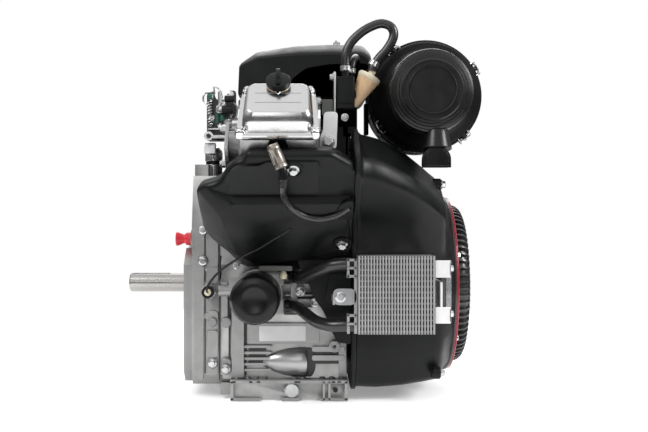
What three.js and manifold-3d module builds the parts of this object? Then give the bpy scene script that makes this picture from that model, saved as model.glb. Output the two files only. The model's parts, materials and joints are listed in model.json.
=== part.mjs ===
// Air-cooled 90 degree V-twin gasoline engine with a horizontal output shaft.
// Millimetres, +Z up. +X runs along the crankshaft away from the output end, -Y is the near bank's side.
// The origin is on the mounting plane, under the crankshaft, midway along the feet.
import * as THREE from 'three';
import { mergeVertices } from 'three/addons/utils/BufferGeometryUtils.js';
import Module from 'manifold-3d';

const wasm = await Module();
wasm.setup();

// ---------- driving dimensions ----------
const GAP = 0.3;                 // clearance between touching pieces
const CRANK_Z = 162;             // crankshaft axis above the mounting plane
const BANK_ANGLE = Math.PI / 4;  // each cylinder leans this much from the vertical
const NEAR_X = -12;              // near cylinder's centre along the crankshaft
const FAR_X = 16;                // far cylinder's centre
const DECK_H = 108;              // cylinder deck, measured from the crankshaft axis
const BARREL_TOP_H = 213;
const HEAD_TOP_H = 335;
const BORE_R = 42;
const BORE_SIDES = 18;           // sides of the round work round a bore
const THROW = 38;                // crank radius, half the stroke
const ROD_LENGTH = 140;
const SHAFT_R = 28.575 / 2;      // 1-1/8 inch output shaft
const SHAFT_END_X = -249;
const OUTPUT_FACE_X = -160;
const COVER_JOINT_X = -102;      // crankcase cover meets the crankcase here
const CASE_END_X = 84;           // flywheel side of the crankcase
const SEAM_X = 88.3;             // shrouds meet the blower housing here
const HOUSING_END_X = 236;
const CASE_HALF = 92;            // crankcase half width
const FOOT_HALF = 110;
const FOOT_H = 30;
const COVER_BOTTOM_Z = 18;       // lowest point of the gear case and its cover
const EXHAUST_R = 15;
const PORT_H = 283;              // exhaust port's height up the cylinder head
const PLUG_SLANT = 0.27;         // how much the spark plug leans outward, as a slope
const PLUG_SEAT_H = 222;
const CAM_DISTANCE = 90;         // camshaft above the crankshaft
const CAP_Y = 26;                // oil filler's place across the valve cover
const GEAR_MODULE = 3;
const CRANK_TEETH = 20;
const CAM_TEETH = 40;
const GEAR_X = -98;
const GEAR_WIDTH = 16;
const FILTER_X = -45;
const FILTER_Z = 154.6;
const CANISTER_X = 195.7;
const CANISTER_Z = 438.7;
const PINION_Y = 127;            // starter motor axis
const PINION_Z = 98;

// ---------- materials ----------
const finishes = {
  cast: [0xb4b5b3, 0.55, 0.7],
  bright: [0xd2d3d2, 0.35, 0.85],
  steel: [0x9c9ea0, 0.3, 1.0],
  zinc: [0xc6c8c8, 0.35, 0.9],
  black: [0x1d1e1f, 0.45, 0.0],
  rubber: [0x161616, 0.7, 0.0],
  red: [0xc81f30, 0.4, 0.0],
  amber: [0xc9a878, 0.4, 0.0],
  paper: [0xd8c9a0, 0.9, 0.0],
};

function material(name) {
  const [color, roughness, metalness] = finishes[name];
  return new THREE.MeshStandardMaterial({ color, roughness, metalness });
}

// ---------- solid helpers ----------
function toSolid(geometry) {
  const bare = geometry.clone();
  bare.deleteAttribute('normal');
  bare.deleteAttribute('uv');
  const merged = mergeVertices(bare, 1e-4);
  const vertProperties = new Float32Array(merged.attributes.position.array);
  const triVerts = new Uint32Array(merged.index.array);
  return new wasm.Manifold(new wasm.Mesh({ numProp: 3, vertProperties, triVerts }));
}

function toGeometry(solid) {
  const mesh = solid.getMesh();
  const geometry = new THREE.BufferGeometry();
  geometry.setAttribute('position', new THREE.BufferAttribute(new Float32Array(mesh.vertProperties), 3));
  geometry.setIndex(new THREE.BufferAttribute(new Uint32Array(mesh.triVerts), 1));
  geometry.computeVertexNormals();
  return geometry;
}

const join = (first, ...others) =>
  toGeometry(others.reduce((sum, other) => sum.add(toSolid(other)), toSolid(first)));
const cut = (first, ...others) =>
  toGeometry(others.reduce((rest, other) => rest.subtract(toSolid(other)), toSolid(first)));

function box(x0, x1, y0, y1, z0, z1) {
  const geometry = new THREE.BoxGeometry(x1 - x0, y1 - y0, z1 - z0);
  return geometry.translate((x0 + x1) / 2, (y0 + y1) / 2, (z0 + z1) / 2);
}

// A turned solid: profile holds [radius, height] pairs, the axis is +Z.
function turned(profile, sides = 20) {
  const points = profile.map(([radius, height]) => new THREE.Vector2(radius, height));
  return new THREE.LatheGeometry(points, sides).rotateX(Math.PI / 2);
}

const alongZ = (profile, x, y, sides) => turned(profile, sides).translate(x, y, 0);
const alongX = (profile, y, z, sides) => turned(profile, sides).rotateY(Math.PI / 2).translate(0, y, z);
const alongY = (profile, x, z, sides) => turned(profile, sides).rotateX(-Math.PI / 2).translate(x, 0, z);
const plug = (radius, from, to) => [[0, from], [radius, from], [radius, to], [0, to]];
const ring = (inner, outer, from, to) =>
  [[inner, from], [outer, from], [outer, to], [inner, to], [inner, from]];

function extrude(outline, depth) {
  const shape = new THREE.Shape(outline.map(([a, b]) => new THREE.Vector2(a, b)));
  return new THREE.ExtrudeGeometry(shape, { depth, bevelEnabled: false });
}

// An outline in Y and Z, extruded from x0 to x1.
function slabX(outline, x0, x1) {
  return extrude(outline, x1 - x0).rotateY(Math.PI / 2).rotateX(Math.PI / 2).translate(x0, 0, 0);
}

// An outline in X and Z, extruded from y0 to y1.
function slabY(outline, y0, y1) {
  return extrude(outline, y1 - y0).rotateX(Math.PI / 2).translate(0, y1, 0);
}

// A solid through rings of points that all have the same count.
function loft(rings) {
  const count = rings[0].length;
  const vertices = rings.flat(2);
  const faces = [];
  for (let level = 0; level < rings.length - 1; level += 1) {
    for (let i = 0; i < count; i += 1) {
      const a = level * count + i;
      const b = level * count + (i + 1) % count;
      faces.push(a, b, b + count, a, b + count, a + count);
    }
  }
  const column = (axis) => rings[0].map((point) => point[axis]);
  const spread = (axis) => Math.max(...column(axis)) - Math.min(...column(axis));
  const [u, v] = [0, 1, 2].sort((p, q) => spread(q) - spread(p)).slice(0, 2).sort();
  const flat = rings[0].map((point) => new THREE.Vector2(point[u], point[v]));
  const last = (rings.length - 1) * count;
  for (const [a, b, c] of capTriangles(flat)) {
    faces.push(a, b, c, last + a, last + c, last + b);
  }
  const geometry = new THREE.BufferGeometry();
  geometry.setAttribute('position', new THREE.Float32BufferAttribute(vertices, 3));
  geometry.setIndex(volume(vertices, faces) < 0 ? faces.reverse() : faces);
  return geometry;
}

// Cap triangles of a ring, wound so that they close the walls.
function capTriangles(flat) {
  const count = flat.length;
  const triangles = THREE.ShapeUtils.triangulateShape(flat, []);
  const [a, b, c] = triangles.find((t) => t.some((i, k) => t[(k + 1) % 3] === (i + 1) % count
    || t[(k + 2) % 3] === (i + 1) % count));
  const follows = [[a, b], [b, c], [c, a]].some(([p, q]) => q === (p + 1) % count);
  return follows ? triangles.map(([p, q, r]) => [p, r, q]) : triangles;
}

function volume(vertices, faces) {
  const at = (i) => new THREE.Vector3(...vertices.slice(3 * i, 3 * i + 3));
  let sum = 0;
  for (let i = 0; i < faces.length; i += 3) {
    sum += at(faces[i]).dot(at(faces[i + 1]).cross(at(faces[i + 2])));
  }
  return sum;
}

// A hose, lead or pipe: a round section along a smooth curve.
function pipe(points, radius, sides, steps) {
  const curve = new THREE.CatmullRomCurve3(points.map((p) => new THREE.Vector3(...p)));
  const shape = new THREE.Shape();
  shape.absarc(0, 0, radius, 0, 2 * Math.PI);
  return new THREE.ExtrudeGeometry(shape, { extrudePath: curve, steps, curveSegments: sides / 2 });
}

// ---------- the assembly ----------
const engine = new THREE.Group();
engine.name = 'v_twin_engine';

function add(parent, name, geometry, finish) {
  const mesh = new THREE.Mesh(geometry, material(finish));
  mesh.name = name;
  parent.add(mesh);
}

// Group whose own +Z is the cylinder's axis and whose origin is on the crankshaft.
// side is -1 for the near bank and +1 for the far one; side * y points away from the valley.
function makeBank(x, side) {
  const group = new THREE.Group();
  group.position.set(x, 0, CRANK_Z);
  group.rotation.x = -side * BANK_ANGLE;
  engine.add(group);
  return group;
}

// The same slanted frame as a plain geometry move, for cutting the crankcase.
function inBank(geometry, x, side) {
  return geometry.clone().rotateX(-side * BANK_ANGLE).translate(x, 0, CRANK_Z);
}

function roundedSquare(halfX, halfY, corner, z0, z1) {
  const shape = new THREE.Shape();
  shape.moveTo(halfX, -halfY + corner);
  shape.absarc(halfX - corner, halfY - corner, corner, 0, Math.PI / 2);
  shape.absarc(-halfX + corner, halfY - corner, corner, Math.PI / 2, Math.PI);
  shape.absarc(-halfX + corner, -halfY + corner, corner, Math.PI, 1.5 * Math.PI);
  shape.absarc(halfX - corner, -halfY + corner, corner, 1.5 * Math.PI, 2 * Math.PI);
  return new THREE.ExtrudeGeometry(shape, { depth: z1 - z0, bevelEnabled: false, curveSegments: 1 })
    .translate(0, 0, z0);
}

// ---------- crankcase, its cover and what is bolted to it ----------
const lowCase = [[-92, 28], [92, 28], [92, 160], [117.4, 197.4], [35.4, 279.4], [-35.4, 279.4],
  [-117.4, 197.4], [-92, 160]];
const lowHollow = [[-86, 36], [86, 36], [86, 165], [104.7, 195.9], [33.9, 266.7], [-33.9, 266.7],
  [-104.7, 195.9], [-86, 165]];
const gearCase = [[-76, COVER_BOTTOM_Z], [76, COVER_BOTTOM_Z], [92, 34], [92, 250], [70, 326], [-70, 326],
  [-92, 250], [-92, 34]];
const gearHollow = [[-73, 26], [73, 26], [86, 39], [86, 246], [66, 319], [-66, 319], [-86, 246], [-86, 39]];

function makeCrankcase() {
  const body = join(
    slabX(lowCase, COVER_JOINT_X + 4, CASE_END_X),
    slabX(gearCase, COVER_JOINT_X, -78),
    box(-85, 85, -FOOT_HALF, FOOT_HALF, 0, FOOT_H),
  );
  const holes = [
    slabX(lowHollow, COVER_JOINT_X - 1, CASE_END_X - 6),
    slabX(gearHollow, COVER_JOINT_X - 1, -80.5),
    alongX(plug(21, CASE_END_X - 10, CASE_END_X + 1), 0, CRANK_Z),
    inBank(alongZ(plug(46.2, 60, 130), 0, 0, BORE_SIDES), NEAR_X, -1),
    inBank(alongZ(plug(46.2, 60, 130), 0, 0, BORE_SIDES), FAR_X, 1),
    alongY(plug(6.5, -FOOT_HALF - 1, -84), 4, 15.7, 12),
    box(-40, -18, -FOOT_HALF - 1, FOOT_HALF + 1, -1, 4),
    box(18, 40, -FOOT_HALF - 1, FOOT_HALF + 1, -1, 4),
  ];
  for (const x of [-70, 70]) {
    for (const y of [-101, 101]) {
      holes.push(alongZ(plug(4.5, -1, FOOT_H + 1), x, y, 12));
    }
  }
  add(engine, 'crankcase', cut(body, ...holes), 'cast');
}

function makeCover() {
  const inner = COVER_JOINT_X - GAP;
  const body = join(
    slabX(gearCase, -143, inner),
    slabX([[-90, 40], [-72, 22], [72, 22], [90, 40], [90, 195], [60, 218], [-60, 218], [-90, 195]],
      -155, -140),
    alongX([[0, OUTPUT_FACE_X], [46, OUTPUT_FACE_X], [54, -150], [54, -140], [0, -140]], 0, CRANK_Z, 32),
    box(-141, -121, -68, -34, 318, 343),
  );
  add(engine, 'crankcase_cover', cut(body,
    slabX([[-71, 28], [71, 28], [84, 41], [84, 244], [64, 317], [-64, 317], [-84, 244], [-84, 41]],
      -136, inner + 1),
    alongX(plug(SHAFT_R + 0.6, OUTPUT_FACE_X - 1, -149), 0, CRANK_Z),
    alongX(plug(21, -150, -130), 0, CRANK_Z),
    alongX(plug(28.3, OUTPUT_FACE_X - 1, -152), 0, CRANK_Z),
    alongX(plug(7.3, -144, -130), -60, 232, 12)), 'cast');
  add(engine, 'output_shaft_seal',
    alongX(ring(SHAFT_R + 0.5, 28, -159, -152.3), 0, CRANK_Z), 'rubber');
  add(engine, 'transit_plug', alongX([[0, -170], [10.5, -170], [10.5, -167], [6.5, -158],
    [9.5, -154], [9.5, -143.3], [7, -143.3], [7, -137], [0, -137]], -60, 232, 16), 'red');
  add(engine, 'oil_pressure_switch', alongY([[0, -130], [4, -130], [4, -124], [9, -124], [9, -112],
    [11, -112], [11, -CASE_HALF - GAP], [0, -CASE_HALF - GAP]], -116, 157.9, 12), 'black');
  add(engine, 'drain_plug', alongY([[0, -119], [11, -119], [11, -FOOT_HALF - GAP],
    [6, -FOOT_HALF - GAP], [6, -90], [0, -90]], 4, 15.7, 6), 'zinc');
  add(engine, 'valley_breather', alongZ([[0, 326.3], [13, 326.3], [13, 346], [11, 347], [11, 350],
    [13.5, 351], [13.5, 363], [10, 370], [0, 373]], -118, -12, 16), 'cast');
}

// ---------- oil filter, cooler and hoses ----------
function makeOilSystem() {
  const adapter = join(
    alongY(plug(36, -125, -CASE_HALF - GAP), FILTER_X, FILTER_Z, 32),
    alongY(plug(24, -129, -120), FILTER_X, FILTER_Z, 24),
    box(FILTER_X, -8, -129, -109, 168, 190),
    box(FILTER_X, -8, -124, -104, 126, 148),
  );
  const wall = slabX(lowCase, COVER_JOINT_X, CASE_END_X).translate(0, -GAP, 0);
  add(engine, 'oil_filter_adapter', cut(adapter, wall), 'cast');
  add(engine, 'oil_filter', alongY([[0, -215], [18, -215], [20, -213], [30, -215], [34, -208],
    [34, -135], [31, -129.3], [0, -129.3]], FILTER_X, FILTER_Z, 32), 'black');
  const core = [];
  for (let band = 0; band < 7; band += 1) {
    core.push(box(94, 195, -226, -190, 112 + 15 * band, 122 + 15 * band));
  }
  add(engine, 'oil_cooler', join(
    box(97, 192, -220, -196, 110.7, 215.3),
    box(93, 98, -224, -190, 110.7, 215.3),
    box(191, 196, -224, -190, 110.7, 215.3),
    ...core,
  ), 'bright');
  add(engine, 'cooler_bracket_left', join(
    box(80, 92.7, -217, -214, 111, 211),
    box(60, 84, -217, -214, 149, 171),
    box(60, 63, -217, -CASE_HALF - GAP, 149, 158),
  ), 'zinc');
  add(engine, 'cooler_bracket_right', join(
    box(196.3, 217, -222, -219, 186, 209),
    box(196.3, 217, -222, -219, 125, 147),
    box(203, 209, -222, -219, 125, 209),
    box(203, 206, -222, -154, 145, 180),
  ), 'zinc');
  add(engine, 'upper_cooler_hose', pipe([[-7.2, -119, 179], [1, -119, 179], [12, -127, 180], [22, -146, 182],
    [38, -172, 191], [58, -194, 200], [76, -201, 203], [84, -201, 203], [92.4, -201, 203]], 8, 8, 14), 'rubber');
  add(engine, 'lower_cooler_hose', pipe([[-7.2, -114, 137], [1, -114, 137], [12, -124, 136], [22, -146, 131],
    [38, -172, 122], [58, -194, 119], [76, -201, 120], [84, -201, 120], [92.4, -201, 120]], 8, 8, 14), 'rubber');
}

// ---------- cylinders ----------
function makeBarrel(bank, name) {
  const start = DECK_H + GAP;
  const top = BARREL_TOP_H - GAP;
  const pieces = [
    alongZ(plug(47.5, start, top), 0, 0, BORE_SIDES),
    alongZ(plug(45.5, 94, start + 1), 0, 0, BORE_SIDES),
    roundedSquare(54, 54, 10, start, start + 9),
  ];
  for (let fin = 0; fin < 5; fin += 1) {
    const height = start + 20 + 16 * fin;
    pieces.push(roundedSquare(60, 55, 12, height, height + 4));
  }
  const solid = join(...pieces);
  add(bank, name, cut(solid, alongZ(plug(BORE_R, 90, 220), 0, 0, BORE_SIDES)), 'cast');
}

const plugSeatY = (side) => side * 20;

function makeHead(bank, name, side) {
  const pieces = [roundedSquare(56, 52, 8, BARREL_TOP_H, 224)];
  for (const height of [236, 254]) {
    pieces.push(roundedSquare(60, 55, 12, height, height + 4));
  }
  pieces.push(roundedSquare(50, 44, 8, 220, 292));
  pieces.push(roundedSquare(52, 47, 10, 290, HEAD_TOP_H - GAP));
  pieces.push(alongX(plug(EXHAUST_R + 6, -67, 0), 0, PORT_H, 12));
  pieces.push(slabX([[-26, 262], [26, 262], [26, 304], [-26, 304]], -72, -67));
  pieces.push(box(-18, 18, side < 0 ? 40 : -56, side < 0 ? 56 : -40, 236, 272));
  const well = alongZ(plug(12.5, 0, 140), 0, 0, 8).rotateX(-side * Math.atan(PLUG_SLANT))
    .translate(0, plugSeatY(side), PLUG_SEAT_H);
  const notch = side < 0 ? box(-13, 13, -60, -30, 296, 327) : box(-13, 13, 30, 60, 296, 327);
  const solid = cut(join(...pieces), well, notch,
    alongX(plug(EXHAUST_R, -73, -40), 0, PORT_H, 12),
    box(-42, 42, -24, 24, 300, HEAD_TOP_H + 1));
  add(bank, name, solid, 'cast');
}

function makeValveCover(bank, name, side) {
  const pieces = [
    roundedSquare(52, 47, 12, HEAD_TOP_H, HEAD_TOP_H + 8),
    roundedSquare(44, 38, 12, HEAD_TOP_H + 6, 361),
    roundedSquare(36, 30, 10, 360, 367),
    alongZ(plug(17.5, 345, 367), 0, CAP_Y),
  ];
  for (const [postX, postY] of [[42, -side * 40], [47.5, side * 41]]) {
    for (const x of [-postX, postX]) {
      pieces.push(alongZ(plug(6, HEAD_TOP_H + 2, 349), x, postY, 8));
    }
  }
  add(bank, name, cut(join(...pieces), roundedSquare(38, 22, 8, HEAD_TOP_H - 1, 357)), 'bright');
}

function makePlug(bank, prefix, side) {
  const angle = -side * Math.atan(PLUG_SLANT);
  const spark = alongZ([[0, 0], [7, 0], [7, 18], [11, 18], [11, 26], [6, 26], [6, 68], [2.5, 68],
    [2.5, 80], [0, 80]], 0, 0, 12);
  spark.rotateX(angle).translate(0, plugSeatY(side) + side * 0.2, PLUG_SEAT_H + 1);
  add(bank, `${prefix}_spark_plug`, spark, 'zinc');
  const s = side;
  add(bank, `${prefix}_plug_boot`, pipe([[0, s * 42.2, 304], [0, s * 44.5, 313], [0, s * 53, 318],
    [1, s * 68, 314], [4, s * 86, 307], [5, s * 92, 299]], 6.8, 8, 10), 'zinc');
  add(bank, `${prefix}_plug_lead`, pipe([[5.4, s * 93.6, 296.6], [7, s * 93, 288], [10, s * 84, 266],
    [18, s * 79, 247], [35, s * 78, 231], [55, s * 78, 226], [75, s * 78, 232], [95, s * 78, 246]],
  3.8, 8, 18), 'rubber');
  const coilX = 118 - bank.position.x;
  add(bank, `${prefix}_ignition_coil`, join(
    box(coilX, coilX + 16, -28, 28, 128, 138),
    box(coilX - 4, coilX + 20, -14, 14, 130, 152),
  ), 'black');
}

// Outline of a cylinder shroud in x (from the bank's centre to the seam) and height up the bank.
function shroudOutline(seam, inset) {
  return [
    [-39 + inset, 326 - inset], [-64 + inset, 304 - inset], [-80 + inset, 274 - inset],
    [-101 + inset, 266 - inset], [-109 + inset, 257 - inset], [-111 + inset, 243 - inset],
    [-108 + inset, 196 + inset * 0.4], [-100 + inset, 173 + inset * 0.6], [-60 + inset, 113 + inset],
    [-46 + inset, 104 + inset], [seam, 104 + inset], [seam, 300 - inset], [seam - 22, 324 - inset],
  ];
}

function makeShroud(bank, name, side) {
  const seam = SEAM_X - GAP - bank.position.x;
  const level = (inset, y, grow = 0) =>
    shroudOutline(seam + grow, inset).map(([x, h]) => [x, side * y, h]);
  const outside = loft([level(0, 30), level(0, 58), level(10, 72)]);
  const inside = loft([level(3, 29, 5), level(3, 57, 5), level(12, 69, 5)]);
  const notch = side < 0 ? box(-10, 14, -80, -28, 296, 340) : box(-10, 14, 28, 80, 296, 340);
  const overDeck = box(-57, seam + 5, Math.min(side * 25, side * 59.5), Math.max(side * 25, side * 59.5),
    95, 119);
  const roundHead = box(-53, 53, Math.min(side * 25, side * 47.5), Math.max(side * 25, side * 47.5),
    280, 340);
  add(bank, name, cut(outside, inside, notch, overDeck, roundHead), 'black');
}

function makePiston(bank, name) {
  const pinHeight = THROW * Math.SQRT1_2 + Math.sqrt(ROD_LENGTH ** 2 - THROW ** 2 / 2);
  const piston = alongZ([[0, 26], [34, 26], [36, -24], [41.4, -24], [41.4, 34], [0, 34]], 0, 0, BORE_SIDES)
    .translate(0, 0, pinHeight);
  add(bank, name, piston, 'bright');
}

// ---------- crank train ----------
// A gear along X whose straight flanks join the tooth widths of an involute at root and tip.
// One tooth points at the angle phase.
function gear(teeth, x0, x1, y, z, phase) {
  const pitch = GEAR_MODULE * teeth / 2;
  const pressure = THREE.MathUtils.degToRad(20);
  const base = pitch * Math.cos(pressure);
  const involute = (angle) => Math.tan(angle) - angle;
  const backlash = 0.25 / pitch;
  const halfWidth = (radius) => Math.PI / (2 * teeth) - backlash
    + involute(pressure) - involute(Math.acos(Math.min(1, base / radius)));
  const root = pitch - 1.1 * GEAR_MODULE;
  const tip = pitch + 0.8 * GEAR_MODULE;
  const outline = [];
  for (let tooth = 0; tooth < teeth; tooth += 1) {
    const centre = phase + 2 * Math.PI * tooth / teeth;
    for (const [radius, sign] of [[root, -1], [tip, -1], [tip, 1], [root, 1]]) {
      const angle = centre + sign * halfWidth(radius);
      outline.push([y + radius * Math.cos(angle), z + radius * Math.sin(angle)]);
    }
  }
  return slabX(outline, x0, x1);
}

function crankWeb(x0, x1) {
  const outline = [];
  for (let i = 0; i <= 10; i += 1) {
    const angle = Math.PI + Math.PI * i / 10;
    outline.push([60 * Math.cos(angle), CRANK_Z + 60 * Math.sin(angle)]);
  }
  for (let i = 0; i <= 6; i += 1) {
    const angle = Math.PI * i / 6;
    outline.push([24 * Math.cos(angle), CRANK_Z + THROW + 24 * Math.sin(angle)]);
  }
  return slabX(outline, x0, x1);
}

function makeCrankTrain() {
  const camZ = CRANK_Z + CAM_DISTANCE;
  const shaft = join(
    alongX(plug(SHAFT_R, SHAFT_END_X, -147), 0, CRANK_Z),
    alongX(plug(20, -148.5, -45), 0, CRANK_Z),
    gear(CRANK_TEETH, GEAR_X, GEAR_X + GEAR_WIDTH, 0, CRANK_Z, Math.PI / 2),
    crankWeb(-48, -34),
    alongX(plug(19, -36, 42), 0, CRANK_Z + THROW),
    crankWeb(40, 54),
    alongX(plug(20, 52, 88), 0, CRANK_Z),
    alongX(plug(16, 86, 152), 0, CRANK_Z),
  );
  add(engine, 'crankshaft', cut(shaft,
    box(SHAFT_END_X - 1, SHAFT_END_X + 62, -3.2, 3.2, CRANK_Z + SHAFT_R - 3.2, CRANK_Z + 20),
    alongX(plug(4, SHAFT_END_X - 1, SHAFT_END_X + 25), 0, CRANK_Z, 12)), 'steel');
  const cam = [
    alongX(plug(9, -134, 74), 0, camZ, 16),
    gear(CAM_TEETH, GEAR_X + 1, GEAR_X + GEAR_WIDTH - 1, 0, camZ, -Math.PI / 2 + Math.PI / CAM_TEETH),
  ];
  for (const [x, turn] of [[-34, 0.6], [-4, 2.2], [10, 3.8], [42, 5.4]]) {
    cam.push(alongX(plug(9, x, x + 12), 2.5 * Math.cos(turn), camZ + 2.5 * Math.sin(turn), 16));
  }
  add(engine, 'camshaft', join(...cam), 'steel');
  const flywheel = join(
    alongX(ring(16.4, 30, 92, 140), 0, CRANK_Z, 24),
    alongX([[26, 124], [104, 124], [104, 104], [126, 104], [126, 116], [118, 116], [118, 138],
      [26, 138], [26, 124]], 0, CRANK_Z, 36),
  );
  add(engine, 'flywheel', flywheel, 'cast');
  const fan = [alongX(ring(40, 117, 140.5, 145), 0, CRANK_Z, 36)];
  for (let blade = 0; blade < 12; blade += 1) {
    const turn = 2 * Math.PI * blade / 12;
    fan.push(box(143, 192, -2, 2, 70, 116).rotateX(turn).translate(0, 0, CRANK_Z));
  }
  add(engine, 'cooling_fan', join(...fan), 'black');
}

// ---------- blower housing and guard ----------
// Half outline of the housing: angle from straight down in degrees, radius at the seam, radius near the mouth.
const housingRadii = [[0, 146, 143], [38, 187, 168], [59, 178, 160], [90, 152, 145], [108, 160, 148],
  [121.4, 306, 202], [126, 318, 205], [141, 292, 190], [154, 243, 178], [180, 198, 162]];
const MOUTH_R = 134;             // the housing ends in this circle
const HOUSING_WALL = 5;

function housingRing(x, blend, shrink) {
  const half = housingRadii.map(([degrees, seamRadius, mouthRadius]) =>
    [THREE.MathUtils.degToRad(degrees), THREE.MathUtils.lerp(seamRadius, mouthRadius, blend) - shrink]);
  const place = ([angle, radius], sign) =>
    [x, sign * radius * Math.sin(angle), CRANK_Z - radius * Math.cos(angle)];
  const near = half.map((entry) => place(entry, -1));
  const far = half.slice(1, -1).reverse().map((entry) => place(entry, 1));
  return [...near, ...far];
}

// The mouth's circle, with a point for each point of the outline.
function mouthRing(x, radius) {
  return housingRing(x, 0, 0).map(([, y, z]) => {
    const reach = radius / Math.hypot(y, z - CRANK_Z);
    return [x, y * reach, CRANK_Z + (z - CRANK_Z) * reach];
  });
}

function makeHousing() {
  const stations = [[SEAM_X, 0], [125, 0.16], [165, 0.44], [190, 0.68], [215, 1]];
  const outer = loft([...stations.map(([x, blend]) => housingRing(x, blend, 0)),
    mouthRing(HOUSING_END_X, MOUTH_R)]);
  const inner = loft([housingRing(SEAM_X - 1, 0, HOUSING_WALL), ...stations.slice(1).map(([x, blend]) =>
    housingRing(x, blend, HOUSING_WALL)), mouthRing(HOUSING_END_X - 4, MOUTH_R - 4)]);
  add(engine, 'blower_housing', cut(outer, inner,
    alongX(plug(112, HOUSING_END_X - 10, HOUSING_END_X + 1), 0, CRANK_Z, 36)), 'black');
  add(engine, 'trim_ring', alongX(ring(124, 131, 239.8, 242.8), 0, CRANK_Z, 36), 'red');
  const wall = alongX([[104, HOUSING_END_X + GAP], [133, HOUSING_END_X + GAP], [133, 239.5], [120, 239.5],
    [120, 258], [115, 263], [0, 263], [0, 259], [114, 259], [116, 257], [116, 239.5], [104, 239.5],
    [104, HOUSING_END_X + GAP]], 0, CRANK_Z, 32);
  const slots = [];
  for (let slot = 0; slot < 12; slot += 1) {
    slots.push(box(255, 266, -9, 9, 52, 108).rotateX(2 * Math.PI * slot / 12).translate(0, 0, CRANK_Z));
  }
  add(engine, 'fan_guard', cut(wall, ...slots), 'black');
}

// ---------- starter ----------
function makeStarter() {
  add(engine, 'starter_motor', alongX([[0, -50], [26, -50], [32, -44], [32, 70], [26, 78], [26, 84],
    [5, 84], [5, 118], [0, 118]], PINION_Y, PINION_Z, 24), 'black');
  add(engine, 'starter_pinion', alongX(ring(5.4, 15.5, 87, 101), PINION_Y, PINION_Z, 12), 'steel');
}

// ---------- intake and controls ----------
function makeIntake() {
  const portZ = 380;
  add(engine, 'intake_manifold', join(
    pipe([[NEAR_X, -122, 368], [NEAR_X + 4, -100, 376], [2, -60, portZ], [2, 0, portZ], [2, 60, portZ],
      [FAR_X - 4, 100, 376], [FAR_X, 122, 368]], 15, 10, 14),
    box(-22, 26, -26, 26, 386, 398),
  ), 'cast');
  add(engine, 'carburettor', join(
    box(-18, 22, -24, 24, 398.3, 440),
    box(-26, 30, -28, 28, 432, 444),
  ), 'cast');
  add(engine, 'choke_lever', join(
    alongY(plug(5, -34, -28.3), 2, 424, 12),
    box(0, 4, -34, -31, 396, 424),
  ), 'zinc');
  add(engine, 'control_bracket', join(
    box(-124, -80, -62, -59, 380, 454),
    box(-124, -80, -62, -20, 380, 383),
    box(-96, -80, -62, 9, 326.3, 329.3),
    box(-96, -84, 6, 9, 326.3, 352),
    box(-90, -87, -62, -30, 326.3, 383),
  ), 'zinc');
  add(engine, 'throttle_lever', join(
    alongY(plug(6, -70, -62.3), -104, 425, 12),
    box(-107, -101, -68, -65, 425, 452),
  ), 'steel');
  add(engine, 'governor_arm', join(
    alongY(plug(6, 10, 16), -90, 345, 12),
    box(-93, -87, 11, 14, 345, 432),
  ), 'zinc');
  const hood = [[-79, 446], [-77, 499], [-50, 518], [10, 527], [62, 529], [110, 528], [122, 517],
    [125, 503], [125, 470], [118, 446]];
  const hollow = [[-75, 440], [-73, 497], [-48.5, 514], [10, 523], [62, 525], [108, 524], [118.5, 514.5],
    [121, 502], [121, 470], [114, 446], [114, 440]];
  const skirt = join(box(46, 87, -60, -56, 345, 450), box(80, 101, -60, -56, 385, 450));
  const shell = cut(slabY(hood, -60, 150), slabY(hollow, -56, 146));
  add(engine, 'top_cover', join(shell, skirt), 'black');
  add(engine, 'intake_duct', pipe([[CANISTER_X, 70.5, CANISTER_Z], [CANISTER_X, 92, 440],
    [184, 112, 448], [163, 119, 461], [147, 120, 469], [136, 120, 470], [125.6, 120, 470]], 22, 12, 10), 'black');
}

// ---------- fuel system ----------
function makeFuelSystem() {
  add(engine, 'fuel_pump_bracket', join(
    box(63, 66, -170, -128, 384, 468),
    box(42, 66, -170, -140, 384, 387),
  ), 'zinc');
  add(engine, 'fuel_pump', join(
    box(66.3, 92, -167, -135, 416, 462),
    alongZ(plug(5.5, 460, 469), 80, -150, 12),
    alongX(plug(12, 90, 95.5), -150, 436, 16),
  ), 'black');
  add(engine, 'fuel_filter', alongZ([[0, 418], [5, 418], [5, 424], [10, 428], [12.5, 452], [12.5, 458],
    [5, 460], [5, 469], [0, 469]], 110, -152, 16), 'amber');
  add(engine, 'fuel_hose', pipe([[80, -150, 469.3], [80, -150, 492], [87, -150, 510], [102, -151, 525],
    [118, -152, 534], [131, -153, 537], [142, -154, 533], [147, -154, 524], [145, -154, 513],
    [137, -153, 500], [120, -152, 490], [110, -152, 479], [110, -152, 469.6]], 6.5, 8, 30), 'rubber');
}

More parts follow.
